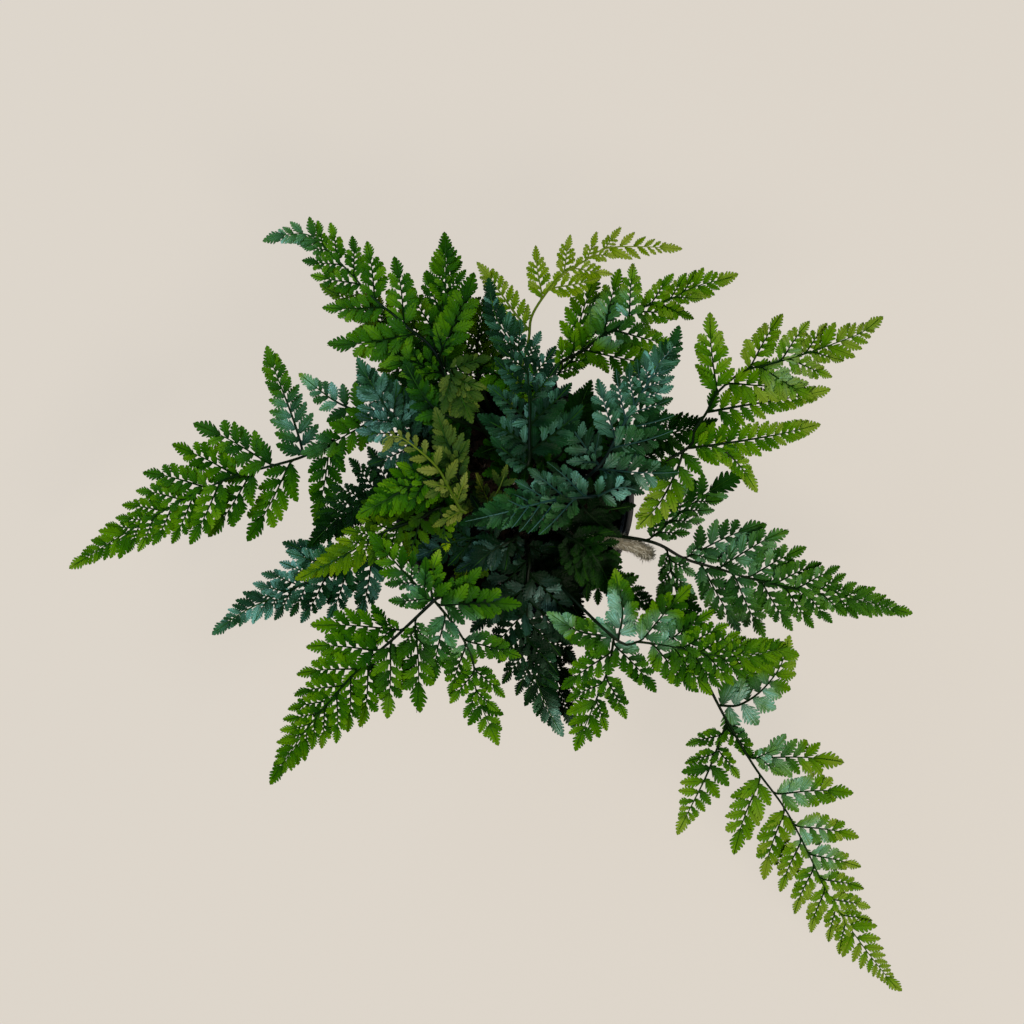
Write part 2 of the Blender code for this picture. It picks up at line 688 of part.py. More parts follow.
def blade_sheet(rib, first, wide, longest, joints):
    """The open sheet of a rib and its leaflets, and the vertices that belong to the rib."""
    bm = bmesh.new()
    places = leaflet_places(rib, first)
    bare = places[0][0] - LEAFLET_STAGGER * places[0][1] / 2
    stem = stem_marks(bare, joints)
    if rib.root_height is not None:
        rib.seat(stem[1] if len(stem) > 1 else bare)
    feet = []
    for distance, left in places:
        foot = min(LEAFLET_FOOT, left * LEAFLET_FOOT_SHARE)
        for side in (1, -1):
            own = distance - LEAFLET_STAGGER * left / 2 * side
            feet.append((side, own, own + foot, left))
    lefts, rights = [stem + [mark for foot in feet if foot[0] == side for mark in foot[1:3]]
                     for side in (1, -1)]
    chains = (bend_marks(rib, lefts, rights), bend_marks(rib, rights, lefts))
    left_edge, right_edge = add_rib(bm, rib, chains)
    ribs = list(left_edge.values()) + list(right_edge.values())
    for side, own, ahead, left in feet:
        edge = left_edge if side == 1 else right_edge
        reach = min(LEAFLET_RATIO * wide * left, longest)
        width = LEAFLET_WIDTH * left * (1 - LEAFLET_SHRINK)
        add_leaflet(bm, rib, own, edge[own], edge[ahead], side, reach, width)
    end_left, end_right = left_edge[lefts[-1]], right_edge[rights[-1]]
    last = places[-1][1]
    tip = bm.verts.new(rib.point(rib.length))
    middle = rib.length - last * TIP_WIDEST
    wing_left = bm.verts.new(rib.point(middle, last * TIP_WIDTH))
    wing_right = bm.verts.new(rib.point(middle, -last * TIP_WIDTH))
    bm.faces.new((end_left, end_right, tip))
    bm.faces.new((end_left, tip, wing_left))
    bm.faces.new((end_right, wing_right, tip))
    return bm, ribs


def thicken(name, rib, first, wide, longest, joints, collection, material):
    """The sheet made solid: thick along the rib, thin in the leaflets."""
    bm, ribs = blade_sheet(rib, first, wide, longest, joints)
    bm.verts.index_update()
    thick = [vert.index for vert in ribs]
    obj = add_object(name, bm, collection, material)
    group = obj.vertex_groups.new(name="rib")
    group.add(thick, 1.0, "REPLACE")
    solid = obj.modifiers.new("thickness", "SOLIDIFY")
    solid.thickness = RIB_THICKNESS * MM
    solid.offset = 0.0
    solid.vertex_group = "rib"
    solid.thickness_vertex_group = BLADE_THICKNESS / RIB_THICKNESS
    apply_modifiers(obj)
    obj.vertex_groups.clear()
    return obj


def make_frond(name, frond, collection):
    """One frond: its stem, rib and leaflets, and its arms joined to it."""
    wide = frond.get("wide", 1.0)
    material = "frond_" + frond.get("tint", "green")
    foot = foot_top(*frond["root"])
    route = [(foot.x, foot.y)] + frond.get("stem", []) + frond["route"]
    rib = Rib(route, frond["level"], root_height=foot.z + SEAT_GAP, blade_foot=frond["route"][0])
    first = rib.path.nearest(Vector((*frond["route"][frond.get("first", 0)], 0.0)))
    longest = frond.get("longest", LONGEST_LEAFLET)
    joints = [rib.path.nearest(Vector((*arm[0], 0.0))) for arm in frond.get("arms", [])]
    first += BARE_ABOVE_FOOT
    obj = thicken(name, rib, first, wide, longest, joints, collection, material)
    arms = bpy.data.collections.new(name + "_arms")
    bpy.context.scene.collection.children.link(arms)
    for joint, arm in zip(joints, frond.get("arms", [])):
        begin = rib.point(joint)
        arm_rib = Rib([(begin.x, begin.y)] + arm[1:], frond["level"], start_height=begin.z)
        arm_first = ARM_BARE * arm_rib.length + BARE_ABOVE_FOOT
        thicken("arm", arm_rib, arm_first, ARM_WIDE, longest, [], arms, material)
    if arms.objects:
        boolean(obj, "UNION", others=arms, solver="MANIFOLD")
    for arm in list(arms.objects):
        bpy.data.objects.remove(arm, do_unlink=True)
    bpy.data.collections.remove(arms)
    return obj


def main():
    clear_scene()
    plant = new_collection("potted_fern")
    cutters = new_collection("cutters")
    scraps = new_collection("guides")
    make_pot(plant, cutters)
    make_soil(plant)
    for name in RHIZOMES:
        make_rhizome(name, plant, scraps)
    for name, frond in FRONDS.items():
        make_frond(name, frond, plant)
    bpy.data.collections.remove(scraps)


main()
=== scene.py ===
# %% [markdown]
# # A potted rabbit's foot fern, seen from straight above
#
# The plant is a creeping fern in a small black nursery pot. Thick furry stems, the rhizomes, lie on
# the potting mix, and each of them carries several fronds. A frond is cut three times over: its rib
# carries side branches, these carry leaflets, and the leaflets are toothed. This lesson grows each
# frond by that rule in mesh code, because a fern is a rule more than it is a shape.
#
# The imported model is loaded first. It fixes where every piece is, in metres, with Z up.

import math
import zlib
import bmesh
import bpy
import numpy as np
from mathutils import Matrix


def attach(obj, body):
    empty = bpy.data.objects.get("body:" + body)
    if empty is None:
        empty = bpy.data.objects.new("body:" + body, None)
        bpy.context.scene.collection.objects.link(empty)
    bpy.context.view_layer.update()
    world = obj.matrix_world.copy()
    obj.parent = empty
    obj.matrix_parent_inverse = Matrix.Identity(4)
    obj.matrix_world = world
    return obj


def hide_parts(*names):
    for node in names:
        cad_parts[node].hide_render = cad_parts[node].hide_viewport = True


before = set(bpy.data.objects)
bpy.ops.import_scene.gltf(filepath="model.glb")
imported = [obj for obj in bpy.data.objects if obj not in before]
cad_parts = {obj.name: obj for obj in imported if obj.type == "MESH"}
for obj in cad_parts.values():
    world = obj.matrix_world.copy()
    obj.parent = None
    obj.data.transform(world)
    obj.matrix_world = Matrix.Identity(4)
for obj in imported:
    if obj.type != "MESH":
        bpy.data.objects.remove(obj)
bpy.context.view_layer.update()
MM = 0.001

# %% [markdown]
# ## The camera
#
# The plant stands on the floor and the camera hangs about two metres above it, looking straight
# down. The pot's rim fixes the scale: a pixel at the rim's level is 0.47 mm. From that and the
# camera's height the focal length follows, so nothing has to be fitted by eye.

# %% Hang the camera over the plant
IMAGE_PIXELS = 1024
PIXEL_AT_RIM = 0.47 * MM
RIM_LEVEL = 88 * MM
CAMERA_PLACE = (-0.0009, -0.0061, 2.088)
SENSOR = 36.0

scene = bpy.context.scene
camera_lens = bpy.data.cameras.new("camera_above")
camera_lens.sensor_width = SENSOR
camera_lens.lens = SENSOR * (CAMERA_PLACE[2] - RIM_LEVEL) / (IMAGE_PIXELS * PIXEL_AT_RIM)
camera_above = bpy.data.objects.new("camera_above", camera_lens)
camera_above.location = CAMERA_PLACE
scene.collection.objects.link(camera_above)
bpy.context.scene.camera = camera_above
print("focal length:", round(camera_lens.lens, 1), "mm")

# %% [markdown]
# ## Where the rhizomes creep and the fronds reach
#
# Each route is in plan, in millimetres. A frond's goes from the foot of its blade to its tip, and its
# level says which of the nested shallow domes of the crown it lies on. These are the routes that the
# solid model is built from, so the leaves land where the frame has them. Some arms, most of them short
# and over the middle, and a few points that ease a stem are here only.

# %% Routes of the rhizomes
RHIZOMES = {
    "rhizome_left_back": [(-11, 9), (-21, 17), (-32, 22), (-43, 27)],
    "rhizome_back": [(-3, 14), (-7, 25), (-9, 36), (-15, 46)],
    "rhizome_right_back": [(9, 11), (15, 21), (23, 30), (32, 38)],
    "rhizome_right": [(14, 0), (25, 3), (37, 2), (47, 8)],
    "rhizome_over_rim": [(11, -10), (23, -12), (36, -16), (47, -19), (56, -22), (62, -25), (64, -26)],
    "rhizome_front": [(2, -15), (8, -25), (9, -36), (14, -46)],
    "rhizome_left_front": [(-8, -12), (-13, -22), (-20, -31), (-28, -39)],
    "rhizome_left": [(-14, -2), (-25, -6), (-36, -8), (-48, -13)],
}
OVER_RIM = "rhizome_over_rim"
OVER_RIM_HEIGHTS = [81.4, 81.7, 86.0, 92.5, 94.5, 89.5, 78.0]
print("rhizomes:", len(RHIZOMES))

# %% [markdown]
# ## What is told about a frond
#
# "root" is the rhizome that a frond rises from and the share of the way along it. "stem" holds points
# between that foot and the blade, and "arms" are side ribs, each with a route of its own.
#
# "tint" is its family of greens. Its youth is how young the green is at the foot and at the tip, where 0 is
# full-grown and 1 is young; less than 0 is a painted shade for fronds deep in the crown. Its bloom is how
# much blue-grey it has, the wax bloom together with a painted sheen, the cool softbox's reflection. "rib"
# is "young" where the rib stays pale and "waxy" where it is bloomed too.
#
# "wide" lengthens the side branches, "lush" lengthens those of the arms as well, and "longest" limits
# them in millimetres. "sparse" widens the gaps between them, "spread" adds degrees to their angle, and
# a side piece shorter than "uncut" stays one leaflet. "first" counts the route points before the blade
# begins, and "cover" starts it that many millimetres sooner. A "simple" frond has leaflets straight on
# its rib. "slim" is the width of its leaflets.
#
# "arm_wide" lengthens the side pieces of each arm. An arm with less than FEATHER_WIDE is a feather:
# it has single leaflets only, and "stout" widens them.

# %% Routes of the fronds
FROND_USUAL = dict(tint="green", rib="old", bloom_and_sheen=0.0, wide=1.0, lush=1.0, longest=60.0, sparse=1.0,
                   spread=0.0, uncut=13.0, first=0, cover=0.0, simple=False, slim=1.0, stout=1.0,
                   arm_wide=[1.0, 1.0, 1.0, 1.0], stem=[], arms=[])
FRONDS = {
    "frond_left_long": dict(
        root=("rhizome_left_back", 0.85), level=3, youth_and_shade=(0.3, 0.65), longest=44, sparse=1.05, uncut=15,
        stout=0.95, arm_wide=[0.68, 1.1],
        route=[(-66, 39), (-84, 30), (-98, 20), (-130, 11), (-153, 1), (-182, -15), (-212, -33)],
        arms=[[(-98, 20), (-104, 39), (-117, 72)],
              [(-68, 38), (-84, 46), (-101, 59)]]),
    "frond_upper_left": dict(
        root=("rhizome_left_back", 0.45), level=5, youth_and_shade=(0.55, 0.5), lush=1.1, sparse=1.4, cover=5,
        route=[(-34, 63), (-51, 81), (-65, 93), (-77, 106), (-88, 117), (-98, 124), (-118, 122)]),
    "frond_upper_left_under": dict(
        root=("rhizome_back", 0.95), level=2, tint="lime", youth_and_shade=(0.3, 0.6), cover=14,
        route=[(-42, 65), (-56, 77), (-72, 90), (-92, 101)]),
    "frond_top": dict(
        root=("rhizome_back", 0.62), level=4, youth_and_shade=(0.3, 0.5), wide=1.4, sparse=1.25, cover=12,
        stem=[(-23, 49), (-31, 57)],
        route=[(-36, 62), (-37, 69), (-35, 79), (-32, 93), (-32, 125)]),
    "frond_top_under": dict(
        root=("rhizome_back", 0.78), level=2, tint="lime", youth_and_shade=(0.1, 0.3), lush=1.3, cover=14,
        route=[(-17, 60), (-17, 72), (-15, 86), (-9, 98)]),
    "frond_top_young": dict(
        root=("rhizome_back", 0.3), level=4, tint="lime", rib="young", youth_and_shade=(0.55, 0.95), wide=0.9,
        sparse=1.35, first=2, slim=0.8, arm_wide=[0.7],
        stem=[(1, 52), (5, 66)],
        route=[(7, 75), (8, 84), (13, 93), (22, 104), (33, 111), (43, 117), (59, 118), (79, 117)],
        arms=[[(7, 78), (0, 87), (-9, 100), (-17, 111)]]),
    "frond_upper_right": dict(
        root=("rhizome_right_back", 0.75), level=3, youth_and_shade=(0.5, 0.8), lush=1.2, sparse=1.35, cover=10,
        route=[(19, 59), (32, 69), (40, 75), (50, 81), (59, 89), (72, 93), (86, 100), (106, 105)]),
    "frond_centre_top": dict(
        root=("rhizome_back", 0.02), level=9, tint="teal", youth_and_shade=(0.1, 0.2), bloom_and_sheen=0.08,
        arm_wide=[0.85, 0.88, 0.8],
        route=[(6, 15), (7, 26), (7, 44), (5, 62), (-4, 75), (-9, 85), (-12, 101)],
        arms=[[(7, 35), (-2, 43), (-12, 52)],
              [(7, 24), (-4, 31), (-17, 38)],
              [(6, 15), (-2, 20), (-11, 28)]]),
    "frond_right_inner": dict(
        root=("rhizome_right_back", 0.1), level=5, tint="dark", youth_and_shade=(0.2, 0.4), lush=1.5, cover=8,
        route=[(21, 20), (27, 34), (32, 46), (36, 55)],
        arms=[[(22, 22), (32, 23), (43, 22)]]),
    "frond_right_steep": dict(
        root=("rhizome_right", 0.3), level=7, tint="teal", rib="waxy", youth_and_shade=(0.2, 0.4), bloom_and_sheen=0.1,
        lush=1.2, cover=8,
        route=[(39, 15), (48, 30), (58, 47), (66, 61), (74, 71), (76, 80)],
        arms=[[(39, 15), (31, 26), (20, 42)]]),
    "frond_right_under": dict(
        root=("rhizome_right", 0.95), level=2, tint="dark", youth_and_shade=(0.3, 0.6), lush=1.3, cover=10,
        slim=0.85,
        route=[(54, 23), (63, 28), (78, 32), (96, 37)]),
    "frond_right_broad": dict(
        root=("rhizome_right", 0.65), level=6, youth_and_shade=(0.45, 1.05), lush=1.15, sparse=1.4, uncut=17,
        first=3, stout=0.95, arm_wide=[0.8, 0.5, 0.48, 0.5],
        route=[(78, 22), (83, 31), (89, 40), (94, 49), (106, 59), (117, 62), (134, 67), (148, 72),
               (163, 78), (173, 86)],
        arms=[[(79, 22), (75, 13), (67, -2), (56, -14)],
              [(80, 24), (100, 26), (123, 30), (143, 35)],
              [(89, 40), (105, 43), (128, 47), (148, 51)],
              [(80, 24), (93, 24), (104, 16), (113, 3)]]),
    "frond_right_low": dict(
        root=("rhizome_over_rim", 0.35), level=2, youth_and_shade=(0.22, 0.6), bloom_and_sheen=0.06,
        route=[(64, -20), (80, -28), (97, -33), (110, -37), (135, -43), (164, -48), (190, -55)]),
    "frond_centre_across": dict(
        root=("rhizome_right", 0.12), level=8, tint="teal", rib="waxy", youth_and_shade=(0.15, 0.28), bloom_and_sheen=0.03,
        lush=1.15,
        route=[(38, 1), (23, 0), (12, -2), (-7, -7), (-25, -11)],
        arms=[[(38, 2), (48, 5), (60, 3)]]),
    "frond_trailing": dict(
        root=("rhizome_over_rim", 0.22), level=3, youth_and_shade=(0.3, 1.0), wide=0.87, spread=14, uncut=15,
        slim=1.0, stout=1.3, arm_wide=[1.0, 0.8],
        stem=[(53, -42), (70, -61), (81, -72)],
        route=[(87, -79), (91, -87), (100, -104), (114, -127), (128, -146), (139, -166), (151, -190),
               (168, -215), (187, -239)],
        arms=[[(100, -105), (92, -128), (84, -145), (77, -159)],
              [(97, -96), (106, -97), (117, -90), (126, -78), (130, -64)]]),
    "frond_lower_right": dict(
        root=("rhizome_front", 0.4), level=6, youth_and_shade=(0.3, 0.6), lush=1.2, sparse=0.88, uncut=15, first=1,
        stout=1.3, arm_wide=[0.75, 0.7, 1.25],
        route=[(46, -64), (58, -66), (72, -68), (90, -72), (106, -73), (124, -70), (133, -73)],
        arms=[[(47, -65), (50, -51), (46, -32)],
              [(45, -64), (30, -61), (15, -52)],
              [(46, -65), (44, -77), (38, -93), (28, -117)]]),
    "frond_lower_right_small": dict(
        root=("rhizome_over_rim", 0.1), level=3, tint="dark", youth_and_shade=(0.3, 0.5), wide=0.8, lush=1.3,
        cover=14,
        route=[(41, -37), (52, -42), (61, -48), (72, -53)]),
    "frond_lower_right_inner": dict(
        root=("rhizome_over_rim", 0.02), level=4, tint="dark", youth_and_shade=(0.2, 0.4), lush=1.5, cover=12,
        route=[(31, -21), (38, -28), (43, -37), (47, -47)]),
    "frond_bottom": dict(
        root=("rhizome_front", 0.15), level=4, tint="teal", youth_and_shade=(-0.3, 0.25), bloom_and_sheen=0.04, lush=1.15,
        cover=8,
        route=[(7, -29), (6, -42), (6, -53), (7, -72), (14, -94), (23, -111)]),
    "frond_bottom_under": dict(
        root=("rhizome_front", 0.95), level=2, tint="dark", youth_and_shade=(-0.15, 0.15), bloom_and_sheen=0.03, wide=0.8,
        lush=1.3, cover=12,
        route=[(15, -66), (17, -73), (21, -89), (28, -108)]),
    "frond_lower_left": dict(
        root=("rhizome_left_front", 0.75), level=7, youth_and_shade=(0.3, 0.65), lush=1.1, cover=6,
        arm_wide=[1.25, 1.1, 0.95, 1.2],
        route=[(-38, -48), (-55, -64), (-70, -77), (-82, -90), (-97, -108), (-114, -133)],
        arms=[[(-36, -47), (-26, -60), (-19, -74), (-17, -90), (-7, -114)],
              [(-38, -47), (-50, -34), (-67, -15)],
              [(-35, -46), (-24, -41), (-15, -31)],
              [(-38, -47), (-38, -36), (-34, -23)]]),
    "frond_left_teal": dict(
        root=("rhizome_left", 0.9), level=2, tint="teal", youth_and_shade=(0.25, 0.4), bloom_and_sheen=0.12, arm_wide=[0.85],
        route=[(-66, -26), (-83, -34), (-99, -40), (-115, -47), (-129, -54), (-143, -64)],
        arms=[[(-76, -30), (-91, -27), (-109, -20)]]),
    "frond_left_lime": dict(
        root=("rhizome_left", 0.35), level=6, tint="lime", youth_and_shade=(-0.1, 0.65), wide=0.85, lush=1.15,
        route=[(-34, -4), (-43, -9), (-61, -16), (-78, -26), (-101, -38)],
        arms=[[(-43, -9), (-46, -20), (-51, -31)],
              [(-34, -4), (-32, -14), (-31, -25)]]),
    "frond_left_dark": dict(
        root=("rhizome_left", 0.65), level=4, tint="dark", youth_and_shade=(0.2, 0.4), lush=1.4, cover=10,
        route=[(-60, 1), (-71, -1), (-83, -10), (-96, -23)]),
    "frond_left_bright": dict(
        root=("rhizome_left_back", 0.2), level=7, youth_and_shade=(0.35, 0.55), lush=1.25, cover=10,
        route=[(-36, 9), (-48, 5), (-59, -1), (-73, -8)]),
    "frond_left_upright": dict(
        root=("rhizome_left_back", 0.62), level=6, tint="teal", youth_and_shade=(0.2, 0.3), bloom_and_sheen=0.12, lush=1.4,
        cover=14,
        route=[(-45, 26), (-56, 38), (-65, 52), (-73, 65)]),
    "frond_left_small": dict(
        root=("rhizome_back", 0.45), level=7, youth_and_shade=(0.15, 0.3), wide=0.85, lush=1.2, cover=12,
        route=[(-34, 40), (-43, 50), (-51, 64)]),
    "frond_centre_folded": dict(
        root=("rhizome_back", 0.15), level=8, tint="olive", youth_and_shade=(0.2, 0.4), lush=1.9, spread=8,
        stem=[(-22, 44), (-31, 56)],
        route=[(-31, 60), (-28, 56), (-25, 49), (-19, 34)]),
    "frond_centre_olive": dict(
        root=("rhizome_left_back", 0.02), level=8, tint="olive", youth_and_shade=(0.3, 0.5), lush=1.2, sparse=1.15,
        cover=8,
        route=[(-24, 8), (-27, 18), (-31, 27), (-34, 36), (-36, 42)]),
    "frond_centre_young": dict(
        root=("rhizome_left", 0.12), level=9, tint="olive", rib="young", youth_and_shade=(0.7, 0.9), wide=0.7,
        sparse=1.45, simple=True, slim=0.8,
        route=[(-23, -6), (-29, 4), (-34, 13), (-42, 21), (-52, 28), (-59, 27), (-60, 21)]),
    "frond_centre_lime": dict(
        root=("rhizome_left_front", 0.2), level=5, tint="lime", rib="young", youth_and_shade=(0.2, 0.4), lush=1.5,
        cover=4,
        route=[(-15, -21), (-19, -28), (-23, -36), (-27, -43)]),
    "frond_centre_curl": dict(
        root=("rhizome_left_front", 0.02), level=6, tint="olive", rib="young", youth_and_shade=(0.5, 0.7), lush=2.0,
        sparse=1.2, simple=True, slim=0.75,
        route=[(-12, -4), (-8, 2), (-5, 9), (-3, 16)]),
    "frond_centre_under": dict(
        root=("rhizome_front", 0.02), level=6, tint="teal", youth_and_shade=(-0.4, -0.1), bloom_and_sheen=0.05, lush=1.6,
        cover=8,
        route=[(-1, -19), (-7, -22), (-14, -27), (-21, -34)],
        arms=[[(-3, -20), (-13, -18), (-25, -19), (-38, -24), (-47, -28)]]),
    "frond_front_dark": dict(
        root=("rhizome_front", 0.7), level=2, tint="dark", youth_and_shade=(-0.3, -0.1), lush=1.3, sparse=0.85,
        cover=8,
        route=[(16, -38), (22, -43), (28, -51), (33, -60)]),
    "frond_right_dark": dict(
        root=("rhizome_right", 0.45), level=3, tint="dark", youth_and_shade=(-0.15, 0.05), lush=1.25, sparse=0.85,
        cover=12,
        route=[(32, -4), (37, -9), (43, -14), (50, -18)],
        arms=[[(32, -3), (40, 5), (52, 12)],
              [(34, -6), (44, -5), (57, -3)]]),
    "frond_back_green": dict(
        root=("rhizome_right_back", 0.4), level=3, youth_and_shade=(0.0, 0.15), lush=1.5, cover=8,
        route=[(15, 27), (14, 35), (13, 43), (11, 52)],
        arms=[[(14, 29), (4, 27), (-8, 24), (-19, 20)],
              [(15, 27), (7, 20), (-4, 14), (-15, 11)]]),
    "frond_left_back_dark": dict(
        root=("rhizome_left_back", 0.32), level=3, tint="dark", youth_and_shade=(0.2, 0.3), lush=1.5, cover=12,
        route=[(-30, 28), (-37, 36), (-44, 44), (-52, 52)]),
}
print("fronds:", len(FRONDS), "arms:", sum(len(frond.get("arms", [])) for frond in FRONDS.values()))

# %% [markdown]
# ## Colours
#
# Colours are written as sRGB hex values, the way a paint chart or a colour picker gives them. The
# render works in linear light, so one function turns them.

# %% Hex to linear light
def linear(hex_colour):
    """An sRGB hex value as linear RGBA."""
    channels = [int(hex_colour[place:place + 2], 16) / 255 for place in (0, 2, 4)]
    turned = [c / 12.92 if c <= 0.04045 else ((c + 0.055) / 1.055) ** 2.4 for c in channels]
    return (*turned, 1.0)


print("mid leaf green in linear light:", [round(c, 3) for c in linear("436d06")])

# %% [markdown]
# ## Nodes
#
# A finish is a tree of nodes: some read a place or a value, some reckon with it, and the last ones are
# the surface. Adding a node, setting it and linking it takes many lines, so one small function does
# all three for a node of any kind. A list fills the node's inputs in their order and a dict fills them
# by name or number. A value stands for itself, and a node or one of its outputs becomes a link.

# %% A node with its settings and links
def add_node(tree, kind, inputs=(), **settings):
    """One node: its own settings, and a value or a link for each input that is given."""
    made = tree.nodes.new("ShaderNode" + kind)
    for setting, value in settings.items():
        setattr(made, setting, value)
    for socket, value in inputs.items() if isinstance(inputs, dict) else enumerate(inputs):
        if isinstance(value, bpy.types.Node):
            value = value.outputs[0]
        if isinstance(value, bpy.types.NodeSocket):
            tree.links.new(value, made.inputs[socket])
        else:
            made.inputs[socket].default_value = value
    return made


def new_finish(name):
    """An empty material and its node tree."""
    material = bpy.data.materials.new(name)
    material.use_nodes = True
    material.node_tree.nodes.clear()
    return material, material.node_tree


def set_stops(ramp, stops):
    """Give a colour ramp node its (place, hex) stops."""
    band = ramp.color_ramp
    band.elements.remove(band.elements[0])
    band.elements[0].position, band.elements[0].color = stops[0][0], linear(stops[0][1])
    for place, hex_colour in stops[1:]:
        band.elements.new(place).color = linear(hex_colour)
    return ramp


# The colour sockets of a Mix node share their names with its other sockets, so they go by number.
MIX_FIRST, MIX_SECOND, MIX_RESULT = 6, 7, 2
print("helpers ready")

# %% [markdown]
# ## Fern blade: living leaf under a thin waxy skin
#
# A mature leaflet of this fern is leathery. Its skin is a thin smooth layer of wax with an IOR near 1.45,
# so it shows a soft sheen and not a wet gloss. Old fronds are dark green, young ones yellow green, and a
# frond gets younger towards its tip. A photo texture could carry all this, but it would smear on thousands
# of small leaflets. The growth code gives each point its age, its place along the leaflet, the leaflet's
# chance and its bloom with a painted sheen, and one ramp turns age into green.

# %% The greens of the blade
MOTTLE_SIZE = 4.0
GREEN_PLACES = (0.0, 0.25, 0.5, 0.78, 1.0)
BLADE_GREENS = {
    "green": ["072203", "1a4a02", "3a7002", "669806", "8cac2e"],
    "teal": ["041d06", "113a0e", "265a16", "45782a", "669246"],
    "lime": ["204203", "3e6403", "608603", "84a00c", "9eb038"],
    "olive": ["162e08", "2f4c12", "4c6420", "727f2b", "8f9640"],
    "dark": ["041803", "0b2c06", "173e0a", "2b5612", "447422"],
}


def growth_values(tree):
    """The growth attribute, its parts (age, place along the leaflet, chance) and the place in space."""
    growth = add_node(tree, "Attribute", attribute_name="growth")
    parts = add_node(tree, "SeparateColor", [growth])
    place = add_node(tree, "TexCoord").outputs["Object"]
    return growth, parts.outputs, place


def blade_green(tree, tint, parts, mottle):
    """Age, chance, place along the leaflet and mottle added up, and the green that they give."""
    total = parts["Red"]
    for share, source in ((0.35, mottle), (0.4, parts["Blue"]), (0.3, parts["Green"])):
        total = add_node(tree, "Math", [source, share, total], operation="MULTIPLY_ADD")
    age = add_node(tree, "Math", [total, 0.5], operation="SUBTRACT")
    ramp = add_node(tree, "ValToRGB", [age])
    return set_stops(ramp, list(zip(GREEN_PLACES, BLADE_GREENS[tint])))


print("blade greens:", sorted(BLADE_GREENS))

# %% [markdown]
# ## Veins, streaks and painted shade at the margins
#
# The side veins are 1.3 mm apart, as on the real leaflet, and lean forward because their coordinate runs
# along the slanted lines that the leaflet is built on. Fine streaks fan out from the leaflet's foot. All of
# them are darker than the skin between them. The outermost margin and the foot, where neighbours overlap,
# get a painted shade as well, and that keeps one leaflet apart from the next.

# %% Veins and the painted shade at the margins
VEIN_SPACING = 1.3
MIDVEIN_HALF = (0.08, 0.32)
FAN_POINT = 2.0
FAN_STREAKS = (14.0, 1.0, 40.0)


def fan_streaks(tree, spot, parts):
    """Noise drawn out along lines that spread from a point just below the leaflet's foot."""
    from_point = add_node(tree, "Math", [spot["Y"], FAN_POINT], operation="ADD")
    fanned = add_node(tree, "Math", [spot["X"], from_point], operation="DIVIDE")
    fan_place = add_node(tree, "CombineXYZ", {"X": fanned, "Z": parts["Blue"]})
    spread = add_node(tree, "Mapping", {"Vector": fan_place, "Scale": FAN_STREAKS})
    return add_node(tree, "TexNoise", {"Vector": spread, "Scale": 1.0, "Detail": 2.0})


def leaf_veins(tree, spot, streaks):
    """How much of a vein lies at a point: the midvein, the side veins and the streaks."""
    across = add_node(tree, "Math", [spot["X"]], operation="ABSOLUTE")
    midvein = add_node(tree, "MapRange", [across, *MIDVEIN_HALF, 0.75, 0.0],
                       interpolation_type="SMOOTHSTEP")
    count = add_node(tree, "Math", [spot["Y"], VEIN_SPACING], operation="DIVIDE")
    wave = add_node(tree, "Math", [count, 0.5], operation="PINGPONG")
    sidevein = add_node(tree, "MapRange", [wave, 0.0, 0.16, 0.2, 0.0], interpolation_type="SMOOTHSTEP")
    ribbed = add_node(tree, "MapRange", [streaks, 0.4, 0.62, 0.4, 0.0])
    fine = add_node(tree, "Math", [sidevein, ribbed], operation="MAXIMUM")
    return add_node(tree, "Math", [midvein, fine], operation="MAXIMUM")


def shade(tree, spot, parts, veins):
    """How dark a point is, from its veins and from a painted shade at the margin and at the leaflet's foot.
    """
    # The margin and the foot get a painted shade, for the shadow where neighbouring leaflets overlap.
    margin = add_node(tree, "MapRange", [spot["Z"], 0.55, 1.0, 0.0, 0.85], interpolation_type="SMOOTHSTEP")
    foot = add_node(tree, "MapRange", [parts["Green"], 0.0, 0.3, 1.0, 0.0], interpolation_type="SMOOTHSTEP")
    painted_overlap_shade = add_node(tree, "Math", [margin, foot], operation="MAXIMUM")
    shaded = add_node(tree, "Math", [painted_overlap_shade, veins], operation="MAXIMUM")
    return add_node(tree, "Math", [shaded, 0.62], operation="MULTIPLY")


print("side veins every", VEIN_SPACING, "mm")

# %% [markdown]
# ## The bloom, the painted sheen and the whole blade
#
# Where the wax is thick it scatters blue light, which is the blue-grey bloom on some leaflets. The same
# blue-grey also carries a painted sheen, the cool softbox's reflection painted into the colour. It lies in
# patches, follows the streaks and is stronger towards the leaflet's tip, where it is a painted highlight.
# It also makes the skin shinier. The skin itself has spots of about 4 mm and a fine pitting, drawn 0.5 mm
# wide to show.

# %% The blade finish
PITTING_SIZE = 0.5
# One blue-grey serves for the wax bloom and for the painted sheen, the cool softbox's reflection painted
# into the colour.
BLOOM_AND_SHEEN_COLOUR = "7cc4b2"


def wax_bloom_and_painted_sheen(tree, growth, parts, place, streaks):
    """The share of blue-grey at a point: the wax bloom and the painted sheen."""
    wax = add_node(tree, "TexNoise", {"Vector": place, "Scale": 1 / (2 * MOTTLE_SIZE * MM), "Detail": 2.0})
    patchy = add_node(tree, "MapRange", [wax, 0.3, 0.65, 0.25, 1.0])
    streaky = add_node(tree, "MapRange", [streaks, 0.38, 0.62, 0.35, 1.5])
    # Stronger towards the leaflet's tip: a painted highlight where the leaflet curves, on top of the wax.
    outer = add_node(tree, "Math", [parts["Green"], 0.9, 0.45], operation="MULTIPLY_ADD")
    patched = add_node(tree, "Math", [patchy, streaky], operation="MULTIPLY")
    toward_tip = add_node(tree, "Math", [patched, outer], operation="MULTIPLY")
    return add_node(tree, "Math", [toward_tip, growth.outputs["Alpha"]],
                    operation="MULTIPLY", use_clamp=True)


